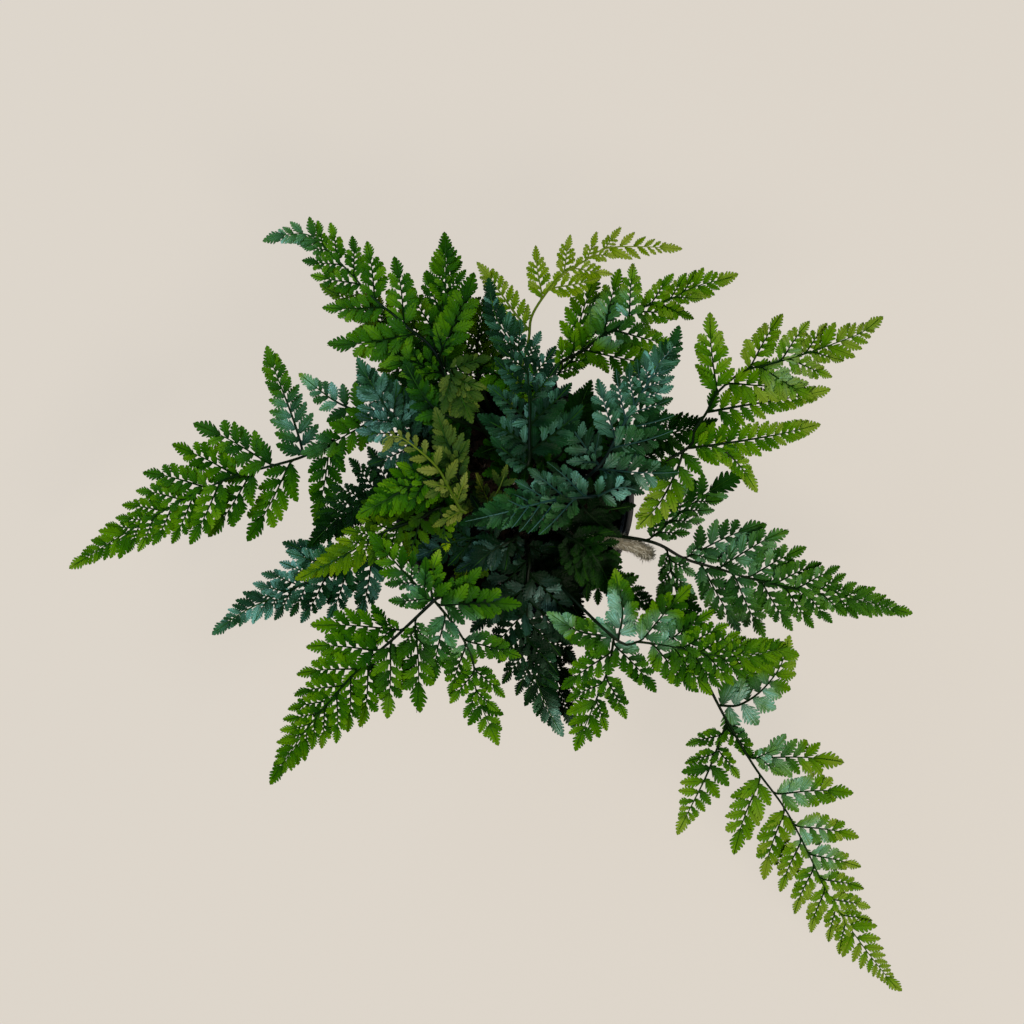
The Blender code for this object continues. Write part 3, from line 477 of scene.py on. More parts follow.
def fern_blade_upper(tint):
    """Waxy upper skin: green by age, veins, painted shade at margins and foot, and bloom with painted
    sheen.
    """
    material, tree = new_finish("fern_blade_upper_" + tint)
    growth, parts, place = growth_values(tree)
    leaf = add_node(tree, "Attribute", attribute_name="leaf_mm")
    spot = add_node(tree, "SeparateXYZ", [leaf.outputs["Vector"]]).outputs
    mottle = add_node(tree, "TexNoise", {"Vector": place, "Scale": 1 / (MOTTLE_SIZE * MM), "Detail": 3.0})
    streaks = fan_streaks(tree, spot, parts)
    veins = leaf_veins(tree, spot, streaks)
    # The veins and the painted shade darken the green towards the tint's darkest.
    veined_and_shaded = add_node(tree, "Mix", {0: shade(tree, spot, parts, veins),
                                    MIX_FIRST: blade_green(tree, tint, parts, mottle),
                                    MIX_SECOND: linear(BLADE_GREENS[tint][0])}, data_type="RGBA")
    # The bloom with its painted sheen mixes the green towards the blue-grey.
    bloom_and_sheen = wax_bloom_and_painted_sheen(tree, growth, parts, place, streaks)
    bloomed_and_sheened = add_node(tree, "Mix", {0: bloom_and_sheen, MIX_FIRST: veined_and_shaded.outputs[MIX_RESULT],
                                   MIX_SECOND: linear(BLOOM_AND_SHEEN_COLOUR)}, data_type="RGBA")
    pitting = add_node(tree, "TexNoise", {"Vector": place, "Scale": 1 / (PITTING_SIZE * MM), "Detail": 1.0})
    swelling = add_node(tree, "Math", [veins, -1.0, pitting], operation="MULTIPLY_ADD")
    bump = add_node(tree, "Bump", {"Strength": 0.7, "Distance": 0.2 * MM, "Height": swelling})
    gloss = add_node(tree, "MapRange", [mottle, 0.0, 1.0, 0.24, 0.4])
    waxiness = add_node(tree, "MapRange", [bloom_and_sheen, 0.0, 0.4, 0.05, 0.7])
    skin = add_node(tree, "BsdfPrincipled", {
        "Base Color": bloomed_and_sheened.outputs[MIX_RESULT], "Roughness": gloss, "IOR": 1.45,
        "Specular IOR Level": waxiness, "Normal": bump})
    add_node(tree, "OutputMaterial", [skin])
    return material


BLADE_FINISHES = {tint: fern_blade_upper(tint) for tint in BLADE_GREENS}
print("blade finishes:", sorted(BLADE_FINISHES))

# %% [markdown]
# ## Underside of the blade
#
# The lower skin has no wax. It is paler and matt, with faint spots. It shows from the side and where a
# leaflet rolls over, so it is a finish of its own on the lower faces.

# %% The underside finish
def fern_blade_lower():
    """Matt lower skin, paler than the upper one."""
    material, tree = new_finish("fern_blade_lower")
    growth, parts, place = growth_values(tree)
    mottle = add_node(tree, "TexNoise", {"Vector": place, "Scale": 1 / (MOTTLE_SIZE * MM), "Detail": 2.0})
    aged = add_node(tree, "Math", [mottle, 0.3, parts["Red"]], operation="MULTIPLY_ADD")
    ramp = add_node(tree, "ValToRGB", [aged])
    set_stops(ramp, [(0.1, "274a20"), (0.6, "4d7434"), (1.0, "83a04e")])
    bump = add_node(tree, "Bump", {"Strength": 0.4, "Distance": 0.1 * MM, "Height": mottle})
    skin = add_node(tree, "BsdfPrincipled",
                    {"Base Color": ramp, "Roughness": 0.62, "IOR": 1.45, "Normal": bump})
    add_node(tree, "OutputMaterial", [skin])
    return material


UNDERSIDE_FINISH = fern_blade_lower()
print("underside finish:", UNDERSIDE_FINISH.name)

# %% [markdown]
# ## Stems and ribs
#
# On an old frond the stem and the ribs are black-green and slightly glossy. On a young one they stay
# pale yellow green, and on a bloomed one the wax turns them grey-green. All are a smooth plant skin
# with fine streaks.

# %% The rib finishes
STREAK_SIZE = 2.4  # really about 0.6 mm, drawn coarser to show at all


def fern_rib(name, old, ripe, young):
    """Plant skin of a stem: dark at its foot and as green as the blade at its tip, with streaks."""
    material, tree = new_finish(name)
    growth, parts, place = growth_values(tree)
    streaks = add_node(tree, "TexNoise", {"Vector": place, "Scale": 1 / (STREAK_SIZE * MM), "Detail": 3.0})
    streaked = add_node(tree, "Math", [streaks, 0.2, parts["Green"]], operation="MULTIPLY_ADD")
    ramp = add_node(tree, "ValToRGB", [streaked])
    set_stops(ramp, [(0.3, old), (0.7, ripe), (1.0, young)])
    bump = add_node(tree, "Bump", {"Strength": 0.3, "Distance": 0.08 * MM, "Height": streaks})
    skin = add_node(tree, "BsdfPrincipled", {"Base Color": ramp, "Roughness": 0.5, "IOR": 1.45,
                                             "Specular IOR Level": 0.12, "Normal": bump})
    add_node(tree, "OutputMaterial", [skin])
    return material


RIB_FINISHES = {
    "old": fern_rib("fern_rib_old", "051403", "0c2a05", "2c5a0c"),
    "young": fern_rib("fern_rib_young", "4c6210", "74881f", "8f9e3a"),
    "waxy": fern_rib("fern_rib_waxy", "0c1f1a", "2a5048", "4c7468"),
}
print("rib finishes:", sorted(RIB_FINISHES))

# %% [markdown]
# ## Smooth routes
#
# A rib bends softly between the points of its route. A Catmull-Rom curve passes through every point,
# which a Bezier fitted by hand would only do after much care, so it is used for ribs and rhizomes.

# %% A curve through the route's points
def smooth_route(points, step=1.0):
    """A Catmull-Rom curve through the points, with a point about every step."""
    points = np.asarray(points, float)
    padded = np.vstack([2 * points[0] - points[1], points, 2 * points[-1] - points[-2]])
    pieces = []
    for p0, p1, p2, p3 in zip(padded, padded[1:], padded[2:], padded[3:]):
        count = max(2, round(float(np.linalg.norm(p2 - p1)) / step))
        t = np.arange(count)[:, None] / count
        pieces.append(0.5 * (2 * p1 + (p2 - p0) * t + (2 * p0 - 5 * p1 + 4 * p2 - p3) * t ** 2
                             + (3 * p1 - p0 - 3 * p2 + p3) * t ** 3))
    return np.vstack([*pieces, points[-1:]])


class Path:
    """A line of points that is read by the distance along it."""

    def __init__(self, points):
        self.points = np.asarray(points, float)
        steps = np.linalg.norm(np.diff(self.points, axis=0), axis=1)
        self.marks = np.concatenate([[0.0], np.cumsum(steps)])
        self.length = float(self.marks[-1])

    def at(self, distance):
        return np.stack([np.interp(distance, self.marks, column) for column in self.points.T], axis=-1)

    def heading(self, distance, reach=2.0):
        ahead = self.at(np.minimum(distance + reach, self.length))
        ahead = ahead - self.at(np.maximum(distance - reach, 0.0))
        return ahead / np.linalg.norm(ahead, axis=-1, keepdims=True)

    def nearest(self, point):
        return float(self.marks[np.linalg.norm(self.points - np.asarray(point, float), axis=1).argmin()])


trailing_route = Path(smooth_route(FRONDS["frond_trailing"]["route"]))
print("the trailing frond's route, in mm:", round(trailing_route.length))

# %% [markdown]
# ## The crown's height
#
# Fronds arch up from the pot and flatten out. Each level of the crown is a shallow dome, and the domes
# are 7.5 mm apart, so fronds pass over each other with air between them. A stem leaves its rhizome
# steeply and eases onto its dome. An arm dips a little below the rib that it leaves.

# %% Heights of rhizomes, feet, stems and ribs
SOIL_TOP = 77.0
SEAT_GAP = 0.3
RHIZOME_RADIUS = 4.0
FOOT_HEIGHT = 2.6
CROWN_FOOT = 96.0
CROWN_STEP = 7.5
CROWN_FALL = 0.45
CROWN_EASE = 150.0
STEM_ARCH = 2.2
LEAFLET_DROOP = 0.0012
ARM_DIP = 3.5
ARM_DIP_EASE = 5.0
NO_TILT = (0.0, 0.0, 0.0)


def rhizome_path(name):
    """The middle line of a rhizome, in three dimensions."""
    route = RHIZOMES[name]
    heights = [SOIL_TOP + SEAT_GAP + RHIZOME_RADIUS] * len(route)
    if name == OVER_RIM:
        heights = OVER_RIM_HEIGHTS
    return Path(smooth_route([(x, y, z) for (x, y), z in zip(route, heights)]))


def foot_top(name, share):
    """Where a frond's stem meets its foot on the rhizome."""
    path = rhizome_path(name)
    return path.at(share * path.length) + (0, 0, RHIZOME_RADIUS + FOOT_HEIGHT)


def crown_height(level, plan):
    """The height of a level's dome over places in the plan."""
    out = np.hypot(plan[..., 0], plan[..., 1])
    return CROWN_FOOT + CROWN_STEP * level - CROWN_FALL * out * out / (out + CROWN_EASE)


class Rib:
    """The middle line of a frond: a route in plan, with a height along it."""

    age_range = (0.0, 1.0)
    spacing = 1.0
    stout = 1.0
    single = False
    feather = False

    def __init__(self, route, level):
        self.path = Path(smooth_route(route))
        self.length = self.path.length
        self.level = level

    def set_stem(self, root_height, blade_foot):
        self.root_height = root_height
        self.foot = self.path.nearest(blade_foot)

    def height(self, distance):
        dome = crown_height(self.level, self.path.at(distance))
        left = np.clip(1 - distance / self.foot, 0.0, 1.0)
        return dome + (self.root_height - dome) * left ** STEM_ARCH

    def perch(self, distance):
        """What a side piece has to know of the place it grows from: the rib, the place and its tilt."""
        return self, (*self.path.at(distance), float(self.height(distance))), NO_TILT


class Arm(Rib):
    """A side rib, which starts from the frond's main rib."""

    age_range = (0.1, 0.8)
    single = True

    def __init__(self, route, level, start_height):
        super().__init__(route, level)
        self.above_dome = start_height - crown_height(level, self.path.at(0.0))

    def height(self, distance):
        dome = crown_height(self.level, self.path.at(distance))
        return dome + self.above_dome - ARM_DIP * (1 - np.exp(-distance / ARM_DIP_EASE))


print("top of the crown, in mm:", round(float(crown_height(9, np.zeros(2))), 1))

# %% [markdown]
# ## Leaflet patterns
#
# Three flat patterns are enough for the whole plant: the wedge-footed toothed leaflet, a small one with
# fewer teeth, and the long lobed end of a branch. Each is a set of cross lines that lean forward with
# the side veins, with teeth that rise slowly and drop fast, as on the real margin. A picture with cut
# out edges would be cheaper, but the teeth would go soft and the leaf would have no edge. Every pattern
# is a thin closed skin: a top, an underside and one shared margin. The top of the two larger ones has a
# groove along the midrib.

# %% Cross lines of a leaflet
TOOTH_RISE = [(0.0, 1.0), (0.14, 0.47), (0.39, 0.1), (0.73, 0.0), (0.93, 0.4)]
TEETH_OUT_OF_STEP = 0.22
GROOVE_BESIDE = 0.52


def cross_lines(first_tooth, teeth, depth_near, depth_far, widest, foot_width, fullness, shift):
    """Shares along a leaflet and its half width there, as a share of the fullest."""
    lines = [(0.0, 0.0), (first_tooth * 0.55, 0.0)]
    for tooth in range(teeth):
        for phase, dip in TOOTH_RISE:
            share = (tooth + phase + shift) / (teeth + 0.25 + shift)
            depth = depth_near + (depth_far - depth_near) * share
            lines.append((first_tooth + (1 - first_tooth) * share, depth * dip))
    lines.append((1.0, 0.6))
    places, dips = np.array(lines).T
    swelling = foot_width + (1 - foot_width) * (places / widest) ** 0.75
    past_widest = np.maximum(places - widest, 0.0) / (1.03 - widest)
    tapering = (1 - past_widest ** fullness) ** 0.85
    return places, np.where(places < widest, swelling, tapering) * (1 - dips)


class Pattern:
    """A leaflet's cross lines as rows of vertices, and its quads."""

    def __init__(self, columns, **form):
        left_places, left_widths = cross_lines(shift=0.0, **form)
        right_places, right_widths = cross_lines(shift=TEETH_OUT_OF_STEP, **form)
        inner = [GROOVE_BESIDE] * (columns - 1)
        rows = []
        for line in zip(left_places, left_widths, right_places, right_widths):
            left, left_width, right, right_width = line
            middle = (left + right) / 2
            rows.append((left, -left_width, 0.0))
            rows += [(left, -left_width * share, 1.0) for share in inner]
            rows.append((middle, 0.0, 0.2 if inner else 0.5))
            rows += [(right, right_width * share, 1.0) for share in inner]
            rows += [(right, right_width, 0.0), (middle, 0.0, -1.0)]
        self.along, self.across, self.lift = np.array(rows).T
        wide = 2 * columns + 2
        last, under = wide - 2, wide - 1
        self.top, self.under = [], []
        for here in range(0, len(rows) - wide, wide):
            ahead = here + wide
            for column in range(last):
                self.top.append((here + column, here + column + 1, ahead + column + 1, ahead + column))
            self.under.append((here + under, here, ahead, ahead + under))
            self.under.append((here + last, here + under, ahead + under, ahead + last))
        self.top, self.under = np.array(self.top), np.array(self.under)


PATTERNS = {
    "toothed": Pattern(2, first_tooth=0.3, teeth=3, depth_near=0.44, depth_far=0.64,
                       widest=0.5, foot_width=0.2, fullness=1.8),
    "small": Pattern(1, first_tooth=0.28, teeth=2, depth_near=0.4, depth_far=0.6,
                     widest=0.46, foot_width=0.24, fullness=1.8),
    "lobed": Pattern(2, first_tooth=0.06, teeth=5, depth_near=0.5, depth_far=0.5,
                     widest=0.3, foot_width=0.36, fullness=1.4),
}
for kind, pattern in PATTERNS.items():
    triangles = 2 * (len(pattern.top) + len(pattern.under))
    print(kind, "pattern:", len(pattern.along), "points,", triangles, "triangles")

# %% [markdown]
# ## The growth rule
#
# A branch carries side pieces in two rows that alternate. Measured on the plant, each gap is the same
# share of the length that is left to the tip, and so is each side piece, so the branch keeps its form
# to the very tip. A side piece leaves nearly along the branch and bends out within 1.5 mm, which gives
# the dark forks. Long side pieces are branches again, short ones are leaflets. Blender's geometry nodes
# could scatter leaflets, but a rule that calls itself is plainer as a function.

# %% Turning and tilting
FORK_BEND = 1.5
FORWARD_BEND = 0.28
BRANCH_STEP = 2.0


def turned(heading, angle):
    """A plan direction turned to the left by an angle, or by an array of angles."""
    cos, sin = np.cos(angle), np.sin(angle)
    return np.stack([heading[0] * cos - heading[1] * sin, heading[0] * sin + heading[1] * cos], axis=-1)


def tilted(tilt, start, ahead, roll, pitch):
    """A tilt (height = a + b x + c y) with one more roll and pitch about a start point."""
    along = (ahead[0] * pitch, ahead[1] * pitch)
    across = (-ahead[1] * roll, ahead[0] * roll)
    slope = (along[0] + across[0], along[1] + across[1])
    rise = -(slope[0] * start[0] + slope[1] * start[1])
    return (tilt[0] + rise, tilt[1] + slope[0], tilt[2] + slope[1])


def forked_path(start, heading, side, angle, length):
    """A branch in plan: it leaves along the rib, bends out and then leans forward again."""
    along = np.linspace(0.0, length, max(6, round(length / BRANCH_STEP)) + 1)
    forks = angle * (1 - np.exp(-along / FORK_BEND)) - FORWARD_BEND * angle * (along / length) ** 1.5
    headings = turned(heading, side * forks)
    moves = (headings[1:] + headings[:-1]) / 2 * np.diff(along)[:, None]
    return Path(np.vstack([start, start + np.cumsum(moves, axis=0)]))


def end_piece(path, length, rest):
    """Where the last piece of a branch starts, its direction and its length."""
    place = path.at(length - rest)
    toward = path.at(length) - place
    size = float(np.linalg.norm(toward))
    return place, toward / size, size


def between(near, far, share):
    """The value at a share of the way from one value to another."""
    return near + (far - near) * share


print("a branch bends out within", FORK_BEND, "mm")

# %% [markdown]
# ## Measures of leaflets and branches
#
# Most leaflets of the real plant are 5 to 13 mm long. They stand off their branch by 40 to 50 degrees,
# and the branches stand off the rib by 36 to 58. No two are quite alike, so each gets its own roll,
# pitch, fold and bend from seeded chance, and the same plant grows on every run.

# %% Measures of the growth
# Leaflets: lengths in mm, then their share of the branch, the gap as a share of their length, their
# angles at the foot and the tip of the branch, and their half widths as shares of their length.
SMALL_LEAFLET = 6.0
LARGE_LEAFLET = 8.0
SHORTEST_LEAFLET = 2.2
LONGEST_UNCUT = 10.5
LEAFLET_RATIO = 0.33
LEAFLET_FALL = 0.5
LEAFLET_GAP = 0.47
LEAFLET_ANGLES = (50.0, 40.0)
LEAFLET_HALF = 0.33
SINGLE_HALF = 0.3
TIP_HALF = 0.265
END_HALF = 0.3

# The undivided end of a branch, and how much younger a branch gets towards it.
END_PIECE = 8.0
END_SHARE = 0.32
END_REACH = 1.04
END_CLEARANCE = 1.05
AGE_OUTWARD = 0.2

# Branches: each row's side and the share of the length that is left at its first leaflet, the radii
# at foot and tip, and the random roll and pitch.
BRANCH_ROWS = ((1, 0.95), (-1, 0.89))
BRANCH_RADII = (0.45, 0.11)
THIN_BRANCH = 0.55
FULL_BRANCH = 60.0
BRANCH_YOUTH = (0.15, 0.75)
BRANCH_ROLL = 0.13
BRANCH_PITCH = 0.045

# How leaflets roll, pitch, fold and bend, each at random, and how their lean and size vary.
LEAFLET_ROLL = (0.09, 0.15)
LEAFLET_PITCH = (-0.08, 0.1)
LEAFLET_FOLD = (0.04, 0.34)
LEAFLET_BEND = 0.05
LEAN_CHANCE = 0.06
SIZE_CHANCE = 0.05

# The blade: its rows, where it ends, the angles and gaps of its side pieces at foot and tip.
BLADE_ROWS = ((1, 1.04), (-1, 0.965))
BLADE_END = 9.0
TIP_PIECE = 11.0
TIP_SHARE = 0.4
SIDE_CHANCE = 0.04
SIDE_ANGLES = (58.0, 36.0)
SIDE_GAPS = (0.14, 0.165)
SINGLE_GAP = 0.5
ARM_CLEARANCE = 0.05
print("leaflets from", SHORTEST_LEAFLET, "mm, branches from", LONGEST_UNCUT, "mm")

# %% [markdown]
# ## Branches that carry branches
#
# The rule is the same at every size, so one class holds it for a whole frond. A blade sets side pieces
# along a rib, a side piece is a branch or a leaflet by its length, and a branch sets side pieces of its
# own. Nothing becomes a mesh here. Leaflets are kept as rows of numbers and branches as paths, so that
# they can all be placed at once later.

# %% Grow leaflets and branches
class Growth:
    """Everything that grows on one frond: leaflets and tubes, before they become a mesh."""

    def __init__(self, name, frond):
        self.chance = np.random.default_rng(zlib.crc32(name.encode()))
        self.frond = frond
        self.leaflets = {kind: [] for kind in PATTERNS}
        self.tubes = []

    def add_leaflet(self, kind, perch, start, ahead, length, half, age, side):
        rib, anchor, tilt = perch
        chance = self.chance
        roll = chance.normal(LEAFLET_ROLL[0] * side, LEAFLET_ROLL[1])
        pitch = chance.uniform(*LEAFLET_PITCH)
        fold = chance.uniform(*LEAFLET_FOLD)
        bend = chance.normal(0.0, LEAFLET_BEND)
        tone = chance.random()
        flip = 1.0 if chance.random() < 0.5 else -1.0
        half = half * self.frond["slim"] * length
        self.leaflets[kind].append([*anchor, rib.level, *tilt, *start, *ahead, length, half,
                                    roll, pitch, fold, bend, age, tone, flip])

    def branch(self, perch, start, heading, side, angle, length, age, half=SINGLE_HALF):
        """A side piece: a branch with its own leaflets, or one leaflet where it is short."""
        rib, anchor, tilt = perch
        ahead = turned(heading, side * angle)
        if length < self.frond["uncut"]:
            kind = "small" if length < SMALL_LEAFLET else "lobed"
            self.add_leaflet(kind, perch, start, ahead, length, half, age, side)
            return
        path = forked_path(start, heading, side, angle, length)
        roll = self.chance.normal(0.0, BRANCH_ROLL)
        pitch = self.chance.normal(0.0, BRANCH_PITCH)
        perch = rib, anchor, tilted(tilt, start, ahead, roll, pitch)
        thick = BRANCH_RADII[0] * min(1.0, THIN_BRANCH + length / FULL_BRANCH)
        self.tubes.append((perch, path, thick, between(*BRANCH_YOUTH, age)))
        end = max(END_PIECE, END_SHARE * length)
        for turn, begin in BRANCH_ROWS:
            left = begin * length
            while left > end * END_CLEARANCE:
                left -= self.side_piece(perch, path, length, left, side * turn, age)
        tip = end_piece(path, length, end * END_REACH)
        self.add_leaflet("lobed", perch, *tip, END_HALF, age + AGE_OUTWARD, side)

    def side_piece(self, perch, path, length, left, row, age):
        """One side piece of a branch, where a length is left to its tip. The gap to the next comes back."""
        here = length - left
        share = here / length
        lean = math.radians(between(*LEAFLET_ANGLES, share)) * self.chance.normal(1.0, LEAN_CHANCE)
        usual = LEAFLET_RATIO * length * (left / length) ** LEAFLET_FALL
        size = usual * self.chance.normal(1.0, SIZE_CHANCE)
        age += AGE_OUTWARD * share ** 1.5
        start, heading = path.at(here), path.heading(here)
        if size > LONGEST_UNCUT:
            self.branch(perch, start, heading, row, lean, size, age)
        elif size > SHORTEST_LEAFLET:
            kind = "toothed" if size > SMALL_LEAFLET else "small"
            self.add_leaflet(kind, perch, start, turned(heading, row * lean), size, LEAFLET_HALF, age, row)
        return LEAFLET_GAP * usual

    def blade(self, rib, first, ratio, fall, arm_marks=()):
        """The two rows of side pieces of a rib, and its tip."""
        frond = self.frond
        whole = rib.length - first
        for side, begin in BLADE_ROWS:
            left = whole * begin
            while left > BLADE_END:
                here = rib.length - left
                share = here / rib.length
                angle = math.radians(between(*SIDE_ANGLES, share) + frond["spread"])
                angle *= self.chance.normal(1.0, SIDE_CHANCE)
                size = min(ratio * whole * (left / whole) ** fall, frond["longest"])
                size *= self.chance.normal(1.0, SIDE_CHANCE)
                start, heading = rib.path.at(here), rib.path.heading(here)
                age = between(*rib.age_range, share)
                if rib.feather or rib.single and size < frond["uncut"]:
                    large = size > LARGE_LEAFLET
                    kind, half = ("lobed", SINGLE_HALF) if large else ("toothed", LEAFLET_HALF)
                    self.add_leaflet(kind, rib.perch(here), start, turned(heading, side * angle), size,
                                     half * rib.stout, age, side)
                elif not any(side == arm_side and here < mark + ARM_CLEARANCE * left
                             for arm_side, mark in arm_marks):
                    self.branch(rib.perch(here), start, heading, side, angle, size, age, TIP_HALF)
                if rib.single:
                    left -= SINGLE_GAP * size * rib.spacing
                else:
                    left -= left * rib.spacing * between(*SIDE_GAPS, share)
        rest = min(TIP_PIECE, TIP_SHARE * whole)
        tip = end_piece(rib.path, rib.length, rest)
        self.add_leaflet("lobed", rib.perch(rib.length - rest), *tip, SINGLE_HALF, 1.0, 1)


print("growth rule ready: gaps from", SIDE_GAPS[0], "to", SIDE_GAPS[1], "of what is left")

# %% [markdown]
# ## From growth to mesh
#
# All leaflets of one pattern are placed at once with arrays: the pattern is stretched to each
# leaflet's length and width, leaned forward, turned to its heading, and set on the dome. The fold
# along the midrib and the roll make each half catch the light in its own way. Copies by instancing
# would be lighter, but each leaflet here has its own bend, and the export keeps plain meshes only.

# %% Place leaflets
FORWARD_LEAN = math.tan(math.radians(42))
LEAN_FADE = 0.75
LEAFLET_SAG = 0.06
SKIN_TOP = 0.2
SKIN_UNDER = 0.16


def place_leaflets(pattern, rows):
    """Points of all leaflets of one pattern, with two rows of three values for the finishes."""
    rows = np.array(rows, float)[:, :, None]
    (anchor_x, anchor_y, anchor_z, level, tilt_0, tilt_x, tilt_y, start_x, start_y, ahead_x, ahead_y,
     length, half, roll, pitch, fold, bend, age, tone, flip) = np.moveaxis(rows, 1, 0)
    side = pattern.across * flip * half
    down_leaf = pattern.along * length
    along = down_leaf + FORWARD_LEAN * np.abs(side) * (1 - LEAN_FADE * pattern.along)
    across = side + bend * along * along / length
    x = start_x + ahead_x * along - ahead_y * across
    y = start_y + ahead_y * along + ahead_x * across
    plan = np.stack([x, y], axis=-1)
    anchor = np.stack([anchor_x, anchor_y], axis=-1)
    out = np.hypot(x - anchor_x, y - anchor_y)
    z = anchor_z + crown_height(level, plan) - crown_height(level, anchor) - LEAFLET_DROOP * out * out
    z += tilt_0 + tilt_x * x + tilt_y * y + roll * side + pitch * along
    z += fold * np.abs(side) - LEAFLET_SAG * along * along / length
    z += np.where(pattern.lift > 0, SKIN_TOP, SKIN_UNDER) * pattern.lift
    whole = np.ones_like(side)
    margin = whole * (pattern.lift == 0.0)
    groups = ((x, y, z), (age * whole, pattern.along * whole, tone * whole), (side, down_leaf, margin))
    return [np.stack(group, axis=-1).reshape(-1, 3) for group in groups]


print("skin of a leaflet, in mm:", SKIN_TOP + SKIN_UNDER)

# %% [markdown]
# ## Tubes for ribs and stems
#
# Ribs and branches are thin tapered tubes, so six or four flat sides are enough, and the rhizomes use
# the same tube with twenty. A bevelled curve would give the same form, but here the tube's points can
# carry the same values as the leaflets do.

# %% Tubes
TUBE_LIFT = 0.1
TUBE_STEP = 2.5
TAPER = 1.3


def ring_quads(rings, sides):
    """The quads between rings of points, one after the other."""
    first = np.arange(rings - 1)[:, None] * sides
    here = (first + np.arange(sides)).reshape(-1)
    beside = (first + (np.arange(sides) + 1) % sides).reshape(-1)
    return np.stack([here, beside, beside + sides, here + sides], axis=1)


def tube_rings(points, near, far, sides):
    """A tapered tube along three-dimensional points: its vertices and quads."""
    ahead = np.gradient(points, axis=0)
    ahead /= np.linalg.norm(ahead, axis=1, keepdims=True)
    level_side = np.stack([-ahead[:, 1], ahead[:, 0], np.zeros(len(points))], axis=1)
    level_side /= np.maximum(np.linalg.norm(level_side, axis=1, keepdims=True), 1e-6)
    up = np.cross(ahead, level_side)
    turns = (np.arange(sides) * 2 * np.pi / sides)[None, :, None]
    radius = (near + (far - near) * np.linspace(0, 1, len(points)) ** TAPER)[:, None, None]
    ring = level_side[:, None] * np.cos(turns) + up[:, None] * np.sin(turns)
    return (points[:, None] + ring * radius).reshape(-1, 3), ring_quads(len(points), sides)


def branch_points(perch, path):
    """A branch's middle line in three dimensions."""
    rib, anchor, tilt = perch
    plan = path.at(np.linspace(0.0, path.length, max(4, round(path.length / TUBE_STEP)) + 1))
    start = np.array(anchor[:2])
    out = np.linalg.norm(plan - start, axis=1)
    z = anchor[2] + crown_height(rib.level, plan) - crown_height(rib.level, start)
    z = z - LEAFLET_DROOP * out * out + tilt[0] + tilt[1] * plan[:, 0] + tilt[2] * plan[:, 1] + TUBE_LIFT
    return np.column_stack([plan, z])


print("a tube of 3 rings and 4 sides has", len(ring_quads(3, 4)), "quads")

# %% [markdown]
# ## Pieces and their nodes
#
# Every piece is one mesh with a material slot for each face. It rides on the frame's only body and takes
# the place of one node of the solid model.

# %% Make a piece and give it its node
def mesh_piece(name, points, faces, slots, finishes, smooth=True):
    """An object from points in millimetres, faces and a material slot for each of them."""
    mesh = bpy.data.meshes.new(name)
    mesh.from_pydata((np.asarray(points) * MM).tolist(), [], faces)
    for finish in finishes:
        mesh.materials.append(finish)
    mesh.polygons.foreach_set("material_index", slots)
    if smooth:
        mesh.shade_smooth()
    piece = bpy.data.objects.new(name, mesh)
    scene.collection.objects.link(piece)
    return piece


def take_place(piece, node):
    """Puts a piece in the place of a node of the solid model."""
    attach(piece, "root")
    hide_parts(node)


print("ready to make pieces")

# %% [markdown]
# ## Patches of painted sheen
#
# On some fronds only a part shows a blue-grey sheen. It is a painted sheen, the cool softbox's reflection
# painted into the colour, and its places are given here in plan, with a radius and a strength.

# %% Where the painted sheen is
PAINTED_SHEEN_PATCHES = {
    "frond_trailing": [(112, -97, 13, 1.1), (125, -119, 10, 1.0), (134, -138, 8, 0.8), (142, -160, 8, 0.9),
                       (148, -172, 8, 0.9)],
    "frond_lower_right": [(48, -60, 8, 0.75), (44, -50, 8, 0.75), (20, -56, 7, 0.75), (68, -62, 9, 0.55),
                          (56, -66, 7, 0.5)],
    "frond_left_long": [(-97, 26, 10, 0.4), (-104, 40, 9, 0.45), (-90, 50, 10, 0.7)],
    "frond_right_low": [(101, -28, 20, 0.25)],
    "frond_upper_right": [(48, 84, 12, 0.5)],
    "frond_right_broad": [(128, 60, 12, 0.25)],
    "frond_upper_left": [(-108, 118, 14, 0.35)],
    "frond_left_teal": [(-125, -45, 18, 0.45), (-104, -30, 10, 0.3)],
    "frond_centre_across": [(12, 9, 10, 0.2), (30, 11, 10, 0.25), (50, 8, 9, 0.7)],
    "frond_centre_top": [(18, 58, 12, 0.15), (0, 40, 10, 0.12)],
    "frond_right_steep": [(64, 58, 12, 0.4), (36, 26, 10, 0.35), (44, 50, 9, 0.25)],
    "frond_lower_left": [(-30, -60, 12, 0.3), (-48, -40, 9, 0.25), (-20, -62, 8, 0.3)],
    "frond_bottom": [(14, -46, 8, 0.25), (24, -102, 10, 0.35)],
    "frond_left_upright": [(-66, 38, 12, 0.3)],
}
print("fronds with cool patches:", len(PAINTED_SHEEN_PATCHES))

# %% [markdown]
# ## One frond at a time
#
# A frond grows its main rib, then its arms. Then leaflets and tubes become one mesh, with the age, the
# place along the leaflet, the chance and the bloom with its painted sheen stored on each point for the
# finishes to read.

# %% Grow a frond
SIDE_RATIO = 0.39
ARM_RATIO = 0.38
ARM_FALL = 0.95
FEATHER_WIDE = 0.9
FEATHER_FALL = 0.5
FEATHER_SPACING = 0.9
STEM_SINK = 0.4
BLADE_SETBACK = 2.0
BARE_STEM = 0.45
ARM_START = 0.06


def make_arm(frond, rib, points, wide):
    """An arm, the side and the place where it leaves the rib, and how its blade is grown."""
    joint = rib.path.nearest(points[0])
    begin, heading = rib.path.at(joint), rib.path.heading(joint)
    toward = np.array(points[2], float) - begin
    side = 1 if heading[0] * toward[1] - heading[1] * toward[0] > 0 else -1
    arm = Arm([tuple(begin)] + points[1:], frond["level"], float(rib.height(joint)))
    fall = ARM_FALL
    if wide < FEATHER_WIDE:
        arm.feather = True
        arm.stout = frond["stout"]
        arm.spacing = FEATHER_SPACING
        fall = FEATHER_FALL
    return arm, (side, joint), (ARM_START * arm.length, ARM_RATIO * frond["lush"] * wide, fall)


